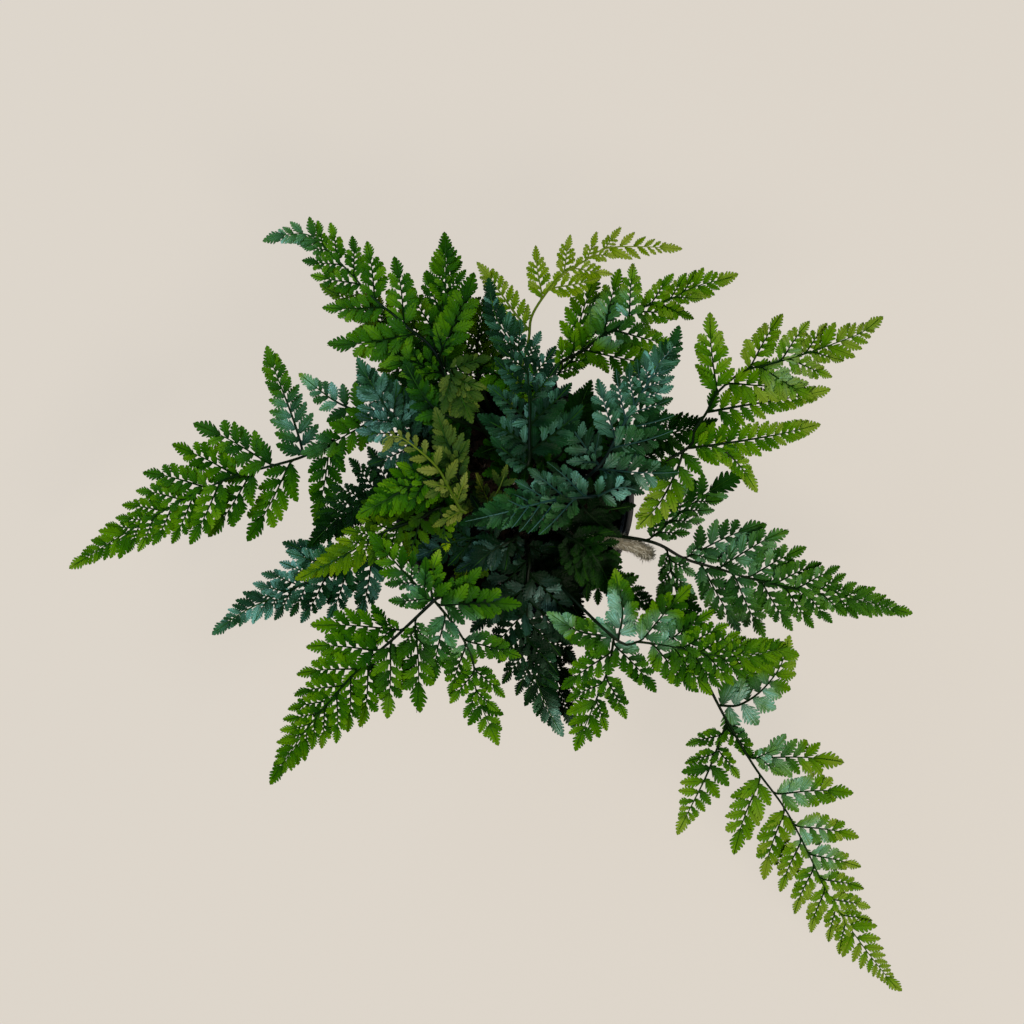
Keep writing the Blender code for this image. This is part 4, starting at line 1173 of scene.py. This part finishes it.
def grow_frond(name, frond):
    """Everything that grows on a frond, and its ribs."""
    growth = Growth(name, frond)
    foot = foot_top(*frond["root"])
    rib = Rib([tuple(foot[:2])] + frond["stem"] + frond["route"], frond["level"])
    rib.set_stem(float(foot[2]) - STEM_SINK, frond["route"][0])
    rib.single = frond["simple"]
    rib.spacing = frond["sparse"]
    first = rib.path.nearest(frond["route"][frond["first"]]) + BLADE_SETBACK
    first = max(first - frond["cover"], BARE_STEM * rib.foot)
    arms = [make_arm(frond, rib, points, wide) for points, wide in zip(frond["arms"], frond["arm_wide"])]
    marks = [mark for arm, mark, form in arms]
    growth.blade(rib, first, SIDE_RATIO * frond["wide"] * frond["lush"], 1.0, marks)
    for arm, mark, form in arms:
        growth.blade(arm, *form)
    return growth, [rib] + [arm for arm, mark, form in arms]


print("frond rule ready")

# %% [markdown]
# ## Leaflets and tubes in one mesh
#
# A real frond is one piece, so its leaflets, branches and ribs go into one mesh. Its slots are the upper
# skin, the underside and the rib. An object for each leaflet would be slow to draw and to export. A
# mirrored leaflet gets its faces turned round, or its skin would point inwards.

# %% One mesh for each frond
RIB_RADII = (0.85, 0.16)
ARM_THICKNESS = 0.75
ARM_YOUTH = 0.3
TIP_BARE = 3.0
SHARP_EDGE = math.radians(60)
RIB_TUBE_SIDES = 6
BRANCH_TUBE_SIDES = 4
UPPER_SLOT, LOWER_SLOT, RIB_SLOT = 0, 1, 2


class MeshParts:
    """Points, faces, slots and point values that are gathered before they become one mesh."""

    def __init__(self):
        self.points, self.quads, self.slots, self.values, self.veins = [], [], [], [], []
        self.count = 0

    def add_points(self, points, values, veins):
        self.points.append(points)
        self.values.append(values)
        self.veins.append(veins)
        self.count += len(points)

    def add_quads(self, quads, slot):
        self.quads.append(quads)
        self.slots.append(np.full(len(quads), slot))


def add_leaflets(parts, kind, rows):
    """All leaflets of one pattern. One in two is mirrored, so its quads are turned round."""
    pattern = PATTERNS[kind]
    offsets = parts.count + np.arange(len(rows))[:, None, None] * len(pattern.along)
    flipped = np.array([row[-1] < 0 for row in rows])
    for faces, slot in ((pattern.top, UPPER_SLOT), (pattern.under, LOWER_SLOT)):
        placed = faces[None] + offsets
        placed[flipped] = placed[flipped][:, :, ::-1]
        parts.add_quads(placed.reshape(-1, 4), slot)
    parts.add_points(*place_leaflets(pattern, rows))


def add_tube(parts, line, near, far, sides, young):
    """A rib or branch. It is as young as told at its foot, and as the blade at its tip."""
    points, quads = tube_rings(line, near, far, sides)
    ripe = np.repeat(young + (1 - young) * np.linspace(0, 1, len(line)) ** TAPER, sides)
    parts.add_quads(quads + parts.count, RIB_SLOT)
    parts.add_points(points, np.column_stack([ripe, ripe, ripe]), np.zeros((len(points), 3)))


def frond_parts(growth, ribs):
    """Leaflets, branches and ribs of one frond, gathered."""
    parts = MeshParts()
    for kind, rows in growth.leaflets.items():
        if rows:
            add_leaflets(parts, kind, rows)
    for perch, path, thick, young in growth.tubes:
        add_tube(parts, branch_points(perch, path), thick, BRANCH_RADII[1], BRANCH_TUBE_SIDES, young)
    for rib in ribs:
        marks = np.linspace(0.0, rib.length - TIP_BARE, max(8, round(rib.length / TUBE_STEP)))
        line = np.column_stack([rib.path.at(marks), rib.height(marks)])
        thickness, young = (ARM_THICKNESS, ARM_YOUTH) if isinstance(rib, Arm) else (1.0, 0.0)
        add_tube(parts, line, RIB_RADII[0] * thickness, RIB_RADII[1], RIB_TUBE_SIDES, young)
    return parts


print("rib radii in mm:", RIB_RADII, "branch radii:", BRANCH_RADII)

# %% [markdown]
# ## Age, bloom and painted sheen on every point
#
# The age is now fitted to the frond's own greens, and the bloom is added, with the painted sheen in the
# patches above. An image texture would need an unwrapped mesh. Values on the points need none and follow
# every leaflet.

# %% Colour a frond and put it in place
ALL_OVER_BLOOM = (0.2, 3.4)
PATCH_SHEEN = (0.1, 1.8)
PATCH_EDGE = 1.3


def growth_colours(name, frond, points, values):
    """Age, place along the leaflet, chance, and bloom with painted sheen of each point."""
    share, along, tone = values.T
    bloom_and_sheen = frond["bloom_and_sheen"] * between(*ALL_OVER_BLOOM, tone ** 4)
    # Each patch adds a painted sheen, the cool softbox's reflection painted into the blue-grey, stronger on
    # leaflets of higher chance.
    for x, y, radius, strength in PAINTED_SHEEN_PATCHES.get(name, []):
        near = np.hypot(points[:, 0] - x, points[:, 1] - y) / radius
        bloom_and_sheen += strength * np.clip(PATCH_EDGE - near, 0.0, 1.0) * between(*PATCH_SHEEN, tone ** 1.5)
    # Ages below 0 are a painted shade for the fronds that lie deep in the crown.
    age = between(*frond["youth_and_shade"], share)
    return np.column_stack([age, along, tone, np.clip(bloom_and_sheen, 0.0, 1.0)])


def build_frond(name, frond):
    """Grows one frond, makes its mesh and sets it in place of its node."""
    growth, ribs = grow_frond(name, frond)
    parts = frond_parts(growth, ribs)
    points, values, veins = (np.vstack(group) for group in (parts.points, parts.values, parts.veins))
    piece = mesh_piece(name.replace("frond", "fern"), points, np.vstack(parts.quads).tolist(),
                       np.concatenate(parts.slots),
                       [BLADE_FINISHES[frond["tint"]], UNDERSIDE_FINISH, RIB_FINISHES[frond["rib"]]])
    colours = growth_colours(name, frond, points, values)
    attributes = piece.data.attributes
    attributes.new("growth", "FLOAT_COLOR", "POINT").data.foreach_set("color", colours.ravel())
    attributes.new("leaf_mm", "FLOAT_VECTOR", "POINT").data.foreach_set("vector", veins.ravel())
    piece.data.set_sharp_from_angle(angle=SHARP_EDGE)
    take_place(piece, name)
    return piece, sum(len(rows) for rows in growth.leaflets.values()), 2 * len(piece.data.polygons)


leaflet_total, triangle_total = 0, 0
for frond_name, told in FRONDS.items():
    piece, leaflets, triangles = build_frond(frond_name, {**FROND_USUAL, **told})
    leaflet_total += leaflets
    triangle_total += triangles
    print(piece.name, leaflets, "leaflets", triangles, "triangles")
print("in all:", leaflet_total, "leaflets", triangle_total, "triangles")

# %% [markdown]
# ## The pot: black polypropylene, injection moulded
#
# A nursery pot is thin moulded polypropylene: a tapered wall, a deeper rim band with a rolled lip so
# that pots can be lifted from a tray, and drain holes in the floor. Its surface is satin, with a very
# fine grain from the mould, and dust and dried water leave paler films on it. The wall is one profile
# turned about Z, because that is how the mould is cut. The screw tool does that, and a boolean cuts
# the drain holes.

# %% The pot's finish
MOULD_GRAIN = 0.6  # really about 0.1 mm, drawn coarser to show at all
WATER_FILM = 18.0


def moulded_polypropylene():
    """Black satin plastic with mould grain and a thin film of dust and dried water."""
    material, tree = new_finish("pot_moulded_polypropylene")
    place = add_node(tree, "TexCoord").outputs["Object"]
    film = add_node(tree, "TexNoise", {"Vector": place, "Scale": 1 / (WATER_FILM * MM), "Detail": 5.0})
    ramp = add_node(tree, "ValToRGB", [film])
    set_stops(ramp, [(0.35, "17181a"), (0.62, "202123"), (0.8, "37342f")])
    grain = add_node(tree, "TexNoise", {"Vector": place, "Scale": 1 / (MOULD_GRAIN * MM), "Detail": 1.0})
    bump = add_node(tree, "Bump", {"Strength": 0.35, "Distance": 0.06 * MM, "Height": grain})
    satin = add_node(tree, "MapRange", [film, 0.3, 0.75, 0.38, 0.62])
    plastic = add_node(tree, "BsdfPrincipled",
                       {"Base Color": ramp, "Roughness": satin, "IOR": 1.49, "Normal": bump})
    add_node(tree, "OutputMaterial", [plastic])
    return material


POT_FINISH = moulded_polypropylene()
print("pot finish:", POT_FINISH.name)

# %% Turn the pot
POT_HEIGHT = 88.0
POT_TOP_RADIUS = 55.0
POT_FOOT_RADIUS = 39.0
POT_WALL = 1.2
POT_FLOOR = 2.0
FOOT_RING = 34.0
RIM_DEPTH = 11.0
RIM_STEP = 1.8
LIP_OUT = 1.5
POT_SIDES = 144
MERGE_WITHIN = 0.02 * MM


def keep_result(piece):
    """Replaces a piece's mesh by what its modifiers make."""
    graph = bpy.context.evaluated_depsgraph_get()
    made = bpy.data.meshes.new_from_object(piece.evaluated_get(graph))
    piece.modifiers.clear()
    piece.data = made


def turned_piece(name, profile, sides, finish):
    """A closed profile of (radius, height) in millimetres, turned about Z."""
    mesh = bpy.data.meshes.new(name)
    mesh.from_pydata([(radius * MM, 0.0, height * MM) for radius, height in profile],
                     [(index, index + 1) for index in range(len(profile) - 1)], [])
    piece = bpy.data.objects.new(name, mesh)
    scene.collection.objects.link(piece)
    screw = piece.modifiers.new("turn", "SCREW")
    screw.steps = screw.render_steps = sides
    screw.use_merge_vertices = True
    screw.merge_threshold = MERGE_WITHIN
    keep_result(piece)
    skin = bmesh.new()
    skin.from_mesh(piece.data)
    bmesh.ops.recalc_face_normals(skin, faces=skin.faces)
    skin.to_mesh(piece.data)
    skin.free()
    piece.data.materials.append(finish)
    piece.data.shade_smooth()
    return piece


rim, edge, foot = POT_HEIGHT, POT_TOP_RADIUS, POT_FOOT_RADIUS
lip = edge + LIP_OUT
inside = edge - POT_WALL
band_foot = rim - RIM_DEPTH
wall_top = edge - RIM_STEP
lip_profile = [(inside, rim - 1.0), (inside + 0.4, rim - 0.2), (edge + 0.3, rim), (lip - 0.4, rim - 0.2),
               (lip, rim - 0.9), (lip - 0.1, rim - 1.8), (edge + 0.1, rim - 2.4)]
band_profile = [(edge, rim - 4.4), (edge - 0.35, rim - 4.8), (edge - 0.1, rim - 5.2),
                (edge - 0.2, rim - 7.4), (edge - 0.55, rim - 7.8), (edge - 0.3, rim - 8.2),
                (edge - 0.5, band_foot + 0.3), (edge - 0.9, band_foot), (wall_top + 0.1, band_foot - 0.5),
                (wall_top - 0.2, band_foot - 1.4)]
foot_profile = [(foot + 1.4, 5.0), (foot + 0.9, 2.0), (foot - 0.1, 0.3), (foot - 1.2, 0.0),
                (FOOT_RING, 0.0), (FOOT_RING - 1.0, 0.7), (0.0, 0.7)]
inner_profile = [(0.0, POT_FLOOR), (foot - POT_WALL, POT_FLOOR), (wall_top - POT_WALL, band_foot),
                 (inside - 0.3, band_foot + 0.8), (inside, rim - 1.0)]
pot_profile = lip_profile + band_profile + foot_profile + inner_profile
pot = turned_piece("nursery_pot", pot_profile, POT_SIDES, POT_FINISH)
print("pot wall:", len(pot.data.polygons), "faces")

# %% [markdown]
# ## Drain holes
#
# Water has to leave the pot, so eight round holes go through its floor in a ring. They could be built
# into the mesh, but cutting eight cylinders out of the turned pot is plainer.

# %% Cut the drain holes
DRAIN_HOLES = 8
DRAIN_RADIUS = 3.6
DRAIN_RING = 28.0
POT_SHARP = math.radians(32)

hole_tool = bmesh.new()
for turn in np.arange(DRAIN_HOLES) * 2 * math.pi / DRAIN_HOLES:
    made = bmesh.ops.create_cone(hole_tool, cap_ends=True, segments=32, radius1=DRAIN_RADIUS * MM,
                                 radius2=DRAIN_RADIUS * MM, depth=4 * POT_FLOOR * MM)
    middle = (DRAIN_RING * math.cos(turn) * MM, DRAIN_RING * math.sin(turn) * MM, POT_FLOOR / 2 * MM)
    bmesh.ops.translate(hole_tool, verts=made["verts"], vec=middle)
hole_mesh = bpy.data.meshes.new("drain_hole_tool")
hole_tool.to_mesh(hole_mesh)
hole_tool.free()
holes = bpy.data.objects.new("drain_hole_tool", hole_mesh)
scene.collection.objects.link(holes)
cut = pot.modifiers.new("drain_holes", "BOOLEAN")
cut.operation = "DIFFERENCE"
cut.solver = "EXACT"
cut.object = holes
keep_result(pot)
bpy.data.objects.remove(holes, do_unlink=True)
pot.data.shade_smooth()
pot.data.set_sharp_from_angle(angle=POT_SHARP)
take_place(pot, "pot")
print("pot:", len(pot.data.vertices), "vertices")

# %% [markdown]
# ## The potting mix: peat, composted bark and perlite
#
# The mix fills the pot to a finger's breadth below the rim. It is dark and crumbly, with bark chips of
# 2.5 to 7.5 mm and white grains of perlite, a puffed volcanic glass, of 1.4 to 3 mm. A bump alone would
# look flat from the side, so the top is a finely divided disc pushed up and down by noise, and the
# chips and grains are small stones of their own, in one mesh with it.

# %% The mix's finishes
def crumbly(name, dark, mid, light, rough, grain):
    """A dry crumbly matter: three tones in clumps, and a rough bump of its grain size in mm."""
    material, tree = new_finish(name)
    place = add_node(tree, "TexCoord").outputs["Object"]
    clumps = add_node(tree, "TexNoise",
                      {"Vector": place, "Scale": 1 / (grain * MM), "Detail": 6.0, "Roughness": 0.7})
    ramp = add_node(tree, "ValToRGB", [clumps])
    set_stops(ramp, [(0.3, dark), (0.55, mid), (0.75, light)])
    bump = add_node(tree, "Bump", {"Strength": 0.8, "Distance": 0.5 * grain * MM, "Height": clumps})
    matter = add_node(tree, "BsdfPrincipled", {"Base Color": ramp, "Roughness": rough, "IOR": 1.4,
                                               "Specular IOR Level": 0.15, "Normal": bump})
    add_node(tree, "OutputMaterial", [matter])
    return material


# The peat is near black: moist peat is dark, and it is darkened further as a painted shade for the shade
# that the crown casts on the mix.
PEAT_IN_PAINTED_SHADE = crumbly("peat_mix_painted_shade", "040302", "0a0705", "150f0a", 0.95, 1.2)
BARK = crumbly("composted_bark", "0c0805", "1a110b", "33251a", 0.85, 2.0)
PERLITE = crumbly("perlite_grain", "77736a", "9c988d", "c4c0b5", 0.8, 0.7)
print("mix finishes:", PEAT_IN_PAINTED_SHADE.name, BARK.name, PERLITE.name)

# %% [markdown]
# ## Bark chips and perlite grains
#
# Each stone is a small icosahedron, squashed, and with its corners pushed in and out by chance. Bark
# chips are flat and perlite grains nearly round. Copies of a few modelled stones would look as good,
# but these cost no more work, and no two are alike.

# %% Stones for the mix
SOIL_RADIUS = 51.2
SOIL_FOOT_RADIUS = 37.2
BARK_CHIPS = 420
PERLITE_GRAINS = 60
STONE_MARGIN = 3.5
STONE_STRETCH = (0.5, 0.9)
STONE_KNOCKS = (0.75, 1.15)
STONE_LIE = (-0.5, 0.1)
soil_chance = np.random.default_rng(11)


def small_stones(count, low, high, flat):
    """Squashed and knocked-about icosahedra lying on the mix: points and triangles."""
    ball = bmesh.new()
    bmesh.ops.create_icosphere(ball, subdivisions=1, radius=1.0)
    shape = np.array([vert.co for vert in ball.verts])
    faces = np.array([[vert.index for vert in face.verts] for face in ball.faces])
    ball.free()
    points, triangles = [], []
    for index in range(count):
        size = soil_chance.uniform(low, high) / 2
        stretch = np.array([1.0, soil_chance.uniform(*STONE_STRETCH), soil_chance.uniform(*flat)])
        turn = soil_chance.uniform(0, 2 * math.pi)
        lump = shape * stretch * size * soil_chance.uniform(*STONE_KNOCKS, (len(shape), 1))
        spun = turned(lump[:, :2].T, turn)
        out = (SOIL_RADIUS - STONE_MARGIN) * math.sqrt(soil_chance.random())
        round_it = soil_chance.uniform(0, 2 * math.pi)
        lie = SOIL_TOP + soil_chance.uniform(*STONE_LIE)
        points.append(np.column_stack([spun, lump[:, 2]])
                      + (out * math.cos(round_it), out * math.sin(round_it), lie))
        triangles.append(faces + index * len(shape))
    return np.vstack(points), np.vstack(triangles)


print("stones on the mix:", BARK_CHIPS + PERLITE_GRAINS)

# %% [markdown]
# ## The body of the mix
#
# The mix is a plug that fills the inside of the pot. The rings and spokes of its top are fine enough
# for crumbs. Chance and two slow waves raise and lower them, and they drop a little at the wall, as
# settled mix does.

# %% Fill the pot
SOIL_RINGS = 60
SOIL_SPOKES = 180
SOIL_FOOT = 2.4
LUMP = 0.4
WAVE = 0.36
WAVE_LENGTHS = (3.1, 2.7)
EDGE_DROP = 1.5

radii = np.concatenate([np.linspace(0.5, SOIL_RADIUS, SOIL_RINGS), [SOIL_FOOT_RADIUS, 0.5]])
turns = np.arange(SOIL_SPOKES) * 2 * np.pi / SOIL_SPOKES
heights = np.concatenate([np.full(SOIL_RINGS, SOIL_TOP - LUMP), [SOIL_FOOT, SOIL_FOOT]])
disc = np.stack([radii[:, None] * np.cos(turns), radii[:, None] * np.sin(turns),
                 np.tile(heights[:, None], SOIL_SPOKES)], axis=-1)
top = disc[:SOIL_RINGS]
lumps = soil_chance.normal(0.0, LUMP, (SOIL_RINGS, SOIL_SPOKES))
lumps += WAVE * np.sin(top[..., 0] / WAVE_LENGTHS[0]) * np.cos(top[..., 1] / WAVE_LENGTHS[1])
near_wall = np.clip((radii[:SOIL_RINGS] - (SOIL_RADIUS - 3)) / 3, 0, 1)[:, None]
top[..., 2] += np.clip(lumps, -1.0, 0.6) - near_wall * EDGE_DROP
disc = disc.reshape(-1, 3)
quads = ring_quads(len(radii), SOIL_SPOKES)[:, [0, 3, 2, 1]]
caps = [list(range(SOIL_SPOKES)), list(range(len(disc) - SOIL_SPOKES, len(disc)))[::-1]]

bark_points, bark_faces = small_stones(BARK_CHIPS, 2.5, 7.5, (0.25, 0.5))
grain_points, grain_faces = small_stones(PERLITE_GRAINS, 1.4, 3.0, (0.7, 1.0))
bark_faces += len(disc)
grain_faces += len(disc) + len(bark_points)
faces = quads.tolist() + caps + bark_faces.tolist() + grain_faces.tolist()
slots = np.repeat([0, 1, 2], [len(quads) + len(caps), len(bark_faces), len(grain_faces)])
soil = mesh_piece("potting_mix", np.vstack([disc, bark_points, grain_points]), faces, slots,
                  [PEAT_IN_PAINTED_SHADE, BARK, PERLITE], smooth=False)
take_place(soil, "soil")
print("potting mix:", len(faces), "faces")

# %% [markdown]
# ## The rhizomes: a fleshy stem in fur
#
# The fern is named for these: stems as thick as a pencil under flat hair-like scales that all lie towards
# the growing tip. The one that has crept over the rim is new and silvery. The old ones inside are brown,
# and their skin and hair are painted near black as well, a painted shade for the dark under the crown. Hair
# curves would look best but the export drops them, so each hair is a narrow bent blade of mesh, drawn 0.35
# mm wide. That is about twice the real width, to show at all.

# %% The rhizome's finishes
def hairy_scale(name, dark, light, tip):
    """Dry, papery scale hair, darker at its root."""
    material, tree = new_finish(name)
    strand = add_node(tree, "Attribute", attribute_name="strand")
    parts = add_node(tree, "SeparateColor", [strand]).outputs
    mixed = add_node(tree, "Math", [parts["Red"], 0.55, parts["Green"]], operation="MULTIPLY_ADD")
    ramp = add_node(tree, "ValToRGB", [mixed])
    set_stops(ramp, [(0.1, dark), (0.8, light), (1.0, tip)])
    hair = add_node(tree, "BsdfPrincipled", {"Base Color": ramp, "Roughness": 0.6, "IOR": 1.5})
    add_node(tree, "OutputMaterial", [hair])
    return material


NEW_FUR = (crumbly("new_rhizome_skin", "7a7462", "a29c8a", "c4beae", 0.8, 1.5),
           hairy_scale("new_scale_hair", "bdb9a9", "e2dfd1", "f0ede0"))
# The old fur is brown with age and painted near black as well, a painted shade for the dark inside the pot.
OLD_FUR_IN_PAINTED_SHADE = (crumbly("old_rhizome_skin_painted_shade", "0d0906", "1c140d", "33271b", 0.8, 1.5),
           hairy_scale("old_scale_hair_painted_shade", "18110b", "35291d", "4d3e2d"))
print("rhizome finishes:", [finish.name for finish in NEW_FUR + OLD_FUR_IN_PAINTED_SHADE])

# %% [markdown]
# ## Skin, feet and hair
#
# Below the fur the stem is fleshy and slightly knobbly, and each frond stands on a short peg, its foot.
# The skin is a tube whose points are pushed in and out, and the foot is a small tapered tube. Hairs
# start just below the skin, so that none floats, and bend once on their way.

# %% Skin and hair
HAIRS_PER_MM = 26
HAIRS_ON_FOOT = 70
HAIR_LENGTH = (1.6, 3.4)
HAIR_WIDTH = 0.35
HAIR_ALONG = (0.5, 1.1)
HAIR_RISE = (0.25, 0.7)
HAIR_STRAY = 0.35
HAIR_SINK = 0.95
SKIN_RADIUS = 3.3
SKIN_KNOBS = 0.07
RHIZOME_SIDES = 20
FOOT_SIDES = 12
FOOT_RADIUS = 1.5


def skin_radius(share):
    """The stem's radius at a share of its length: blunt at both ends."""
    return SKIN_RADIUS * np.minimum(1.0, np.minimum(0.55 + 5 * share, 0.3 + 4 * (1 - share)))


def rhizome_skin(path, chance):
    """Points and faces of the fleshy stem."""
    marks = np.linspace(0.0, path.length, max(12, round(path.length / 1.2)))
    points, quads = tube_rings(path.at(marks), 1.0, 1.0, RHIZOME_SIDES)
    middle = np.repeat(path.at(marks), RHIZOME_SIDES, axis=0)
    knobs = 1 + SKIN_KNOBS * chance.normal(size=len(points))
    radius = np.repeat(skin_radius(marks / path.length), RHIZOME_SIDES) * knobs
    ends = [list(range(RHIZOME_SIDES))[::-1], list(range(len(points) - RHIZOME_SIDES, len(points)))]
    return middle + (points - middle) * radius[:, None], quads.tolist() + ends


def foot_skin(top):
    """Points and faces of a frond's foot, a short tapered peg."""
    line = np.linspace(top - (0, 0, FOOT_HEIGHT + 3.0), top, 5)
    line += np.array([[1e-4, 0, 0]]) * np.arange(5)[:, None]
    points, quads = tube_rings(line, FOOT_RADIUS * 1.3, FOOT_RADIUS, FOOT_SIDES)
    return points, quads.tolist() + [list(range(len(points) - FOOT_SIDES, len(points)))]


def stem_hairs(path, chance):
    """Roots of the hairs on the stem, the way out of the skin, and the way along it."""
    count = round(path.length * HAIRS_PER_MM)
    mark = chance.uniform(0.0, path.length, count)
    along = path.heading(mark, 1.0)
    across = np.stack([-along[:, 1], along[:, 0], np.zeros(count)], axis=1)
    across /= np.linalg.norm(across, axis=1, keepdims=True)
    up = np.cross(along, across)
    turn = chance.uniform(0, 2 * math.pi, count)[:, None]
    outward = across * np.cos(turn) + up * np.sin(turn)
    radius = skin_radius(mark / path.length)[:, None]
    return path.at(mark) + outward * radius * HAIR_SINK, outward, along


def foot_hairs(top, chance):
    """The same for the hairs round a frond's foot."""
    turn = chance.uniform(0, 2 * math.pi, HAIRS_ON_FOOT)
    high = chance.uniform(-FOOT_HEIGHT, -0.6, HAIRS_ON_FOOT)
    out = np.stack([np.cos(turn), np.sin(turn), np.zeros(HAIRS_ON_FOOT)], axis=1)
    along = np.tile((0.0, 0.0, 0.7), (HAIRS_ON_FOOT, 1))
    return top + out * FOOT_RADIUS + high[:, None] * (0, 0, 1), out, along


def hair_blades(roots, outward, along, chance):
    """Narrow bent blades from roots on the skin, laid towards the growing tip."""
    count = len(roots)
    length = chance.uniform(*HAIR_LENGTH, count)[:, None]
    lean = along * chance.uniform(*HAIR_ALONG, (count, 1)) + chance.normal(0.0, HAIR_STRAY, (count, 3))
    rise = outward * chance.uniform(*HAIR_RISE, (count, 1))
    first, second = lean + rise, lean + 0.2 * rise
    first /= np.linalg.norm(first, axis=1, keepdims=True)
    second /= np.linalg.norm(second, axis=1, keepdims=True)
    side = np.cross(first, outward)
    side /= np.maximum(np.linalg.norm(side, axis=1, keepdims=True), 1e-6)
    middle = roots + first * length * 0.5
    tip = middle + second * length * 0.5
    half = side * HAIR_WIDTH / 2
    points = np.stack([roots - half, roots + half, middle + half * 0.8, middle - half * 0.8, tip], axis=1)
    start = np.arange(count)[:, None] * 5
    faces = (start + [0, 1, 2, 3]).tolist() + (start + [3, 2, 4]).tolist()
    tone = chance.random(count) * 0.6
    strand = np.stack([np.tile([0.0, 0.0, 0.6, 0.6, 1.0], count), np.repeat(tone, 5)], axis=1)
    return points.reshape(-1, 3), faces, strand


print("hairs lie", HAIR_LENGTH[0], "to", HAIR_LENGTH[1], "mm long")

# %% [markdown]
# ## One rhizome at a time
#
# A rhizome gets its skin, a foot for every frond that rises from it, and its hair, all in one mesh. Hair
# that would dip into the mix is lifted out of it, except on the rhizome that reaches over the rim.

# %% Lay the rhizomes
LOWEST_HAIR = SOIL_TOP - 0.5


def build_rhizome(name):
    """Skin, feet of the fronds and hair of one rhizome."""
    chance = np.random.default_rng(zlib.crc32(name.encode()))
    path = rhizome_path(name)
    feet = [foot_top(*frond["root"]) for frond in FRONDS.values() if frond["root"][0] == name]
    points, faces, base = [], [], 0
    for made, made_faces in [rhizome_skin(path, chance)] + [foot_skin(top) for top in feet]:
        faces += [[corner + base for corner in face] for face in made_faces]
        points.append(made)
        base += len(made)
    hairs = [stem_hairs(path, chance)] + [foot_hairs(top, chance) for top in feet]
    blades, blade_faces, strand = hair_blades(*(np.vstack(group) for group in zip(*hairs)), chance)
    if name != OVER_RIM:
        blades[:, 2] = np.maximum(blades[:, 2], LOWEST_HAIR)
    slots = [0] * len(faces) + [1] * len(blade_faces)
    faces += [[corner + base for corner in face] for face in blade_faces]
    piece = mesh_piece(name.replace("rhizome", "furry_rhizome"), np.vstack([*points, blades]), faces, slots,
                       NEW_FUR if name == OVER_RIM else OLD_FUR_IN_PAINTED_SHADE)
    colours = np.zeros((base + len(blades), 4))
    colours[base:, :2] = strand
    colours[:, 3] = 1.0
    piece.data.attributes.new("strand", "FLOAT_COLOR", "POINT").data.foreach_set("color", colours.ravel())
    take_place(piece, name)
    return piece


for rhizome_name in RHIZOMES:
    piece = build_rhizome(rhizome_name)
    print(piece.name, len(piece.data.polygons), "faces")

# %% [markdown]
# ## The floor
#
# The background is a plain warm beige. A lit floor would show every shadow of the plant, so most of
# its tone is its own glow and only a little is reflected light, which leaves a faint contact shadow.
# The glow is strong for the camera and weak for all other rays, or it would light the leaves from
# below.

# %% The floor
FLOOR_TONE = "ddd5ca"
FLOOR_GLOW = 0.92
FLOOR_BOUNCE = 0.15
FLOOR_REFLECTS = 0.12
FLOOR_REACH = 4000.0


def studio_floor():
    """Plain beige paper, mostly self-lit."""
    material, tree = new_finish("studio_floor_paper")
    beige = linear(FLOOR_TONE)
    rays = add_node(tree, "LightPath")
    glow = add_node(tree, "MapRange", [rays.outputs["Is Camera Ray"], 0.0, 1.0, FLOOR_BOUNCE, FLOOR_GLOW])
    paper = add_node(tree, "BsdfPrincipled", {
        "Base Color": (*(channel * FLOOR_REFLECTS for channel in beige[:3]), 1.0), "Roughness": 1.0,
        "Specular IOR Level": 0.0, "Emission Color": beige, "Emission Strength": glow})
    add_node(tree, "OutputMaterial", [paper])
    return material


corners = [(FLOOR_REACH * x, FLOOR_REACH * y, 0.0) for x, y in ((-1, -1), (1, -1), (1, 1), (-1, 1))]
floor = mesh_piece("studio_floor", corners, [(0, 1, 2, 3)], [0], [studio_floor()], smooth=False)
print("floor tone:", FLOOR_TONE)

# %% [markdown]
# ## The light
#
# One wide cool softbox stands high at the back left. Its reflection is what silvers the waxed leaflets.
# A warmer one at the front right fills the shapes, and the room itself is kept dim so that the gaps
# among the leaves fall to near black. Point lamps would be simpler, but their small hard reflections
# would make the wax look wet.

# %% The room and the softboxes
ROOM_DIM = 0.05
CROWN_MIDDLE = (0.0, 0.0, 0.13)

room = bpy.data.worlds.new("studio_room")
bpy.context.scene.world = room
room.use_nodes = True
room.node_tree.nodes.clear()
seen = add_node(room.node_tree, "Background", {"Color": linear(FLOOR_TONE)})
lit = add_node(room.node_tree, "Background", {"Color": linear("e8eef2"), "Strength": ROOM_DIM})
rays = add_node(room.node_tree, "LightPath")
both = add_node(room.node_tree, "MixShader", [rays.outputs["Is Camera Ray"], lit, seen])
add_node(room.node_tree, "OutputWorld", [both])


def softbox(name, place, size, power, hex_colour):
    """A square area light that looks at the middle of the crown."""
    lamp = bpy.data.lights.new(name, "AREA")
    lamp.shape = "SQUARE"
    lamp.size = size
    lamp.energy = power
    lamp.color = linear(hex_colour)[:3]
    holder = bpy.data.objects.new(name, lamp)
    holder.location = place
    toward = np.array(CROWN_MIDDLE) - np.array(place)
    holder.rotation_euler = (math.atan2(math.hypot(toward[0], toward[1]), -toward[2]), 0.0,
                             math.atan2(toward[1], toward[0]) - math.pi / 2)
    scene.collection.objects.link(holder)


softbox("softbox_cool", (-0.95, 0.75, 1.15), 0.8, 14.0, "c9e4ff")
softbox("softbox_key", (0.6, -0.75, 1.6), 0.7, 20.0, "fff6e8")
scene.view_settings.view_transform = "Standard"
scene.view_settings.look = "None"
print("lights:", [lamp.name for lamp in bpy.data.lights])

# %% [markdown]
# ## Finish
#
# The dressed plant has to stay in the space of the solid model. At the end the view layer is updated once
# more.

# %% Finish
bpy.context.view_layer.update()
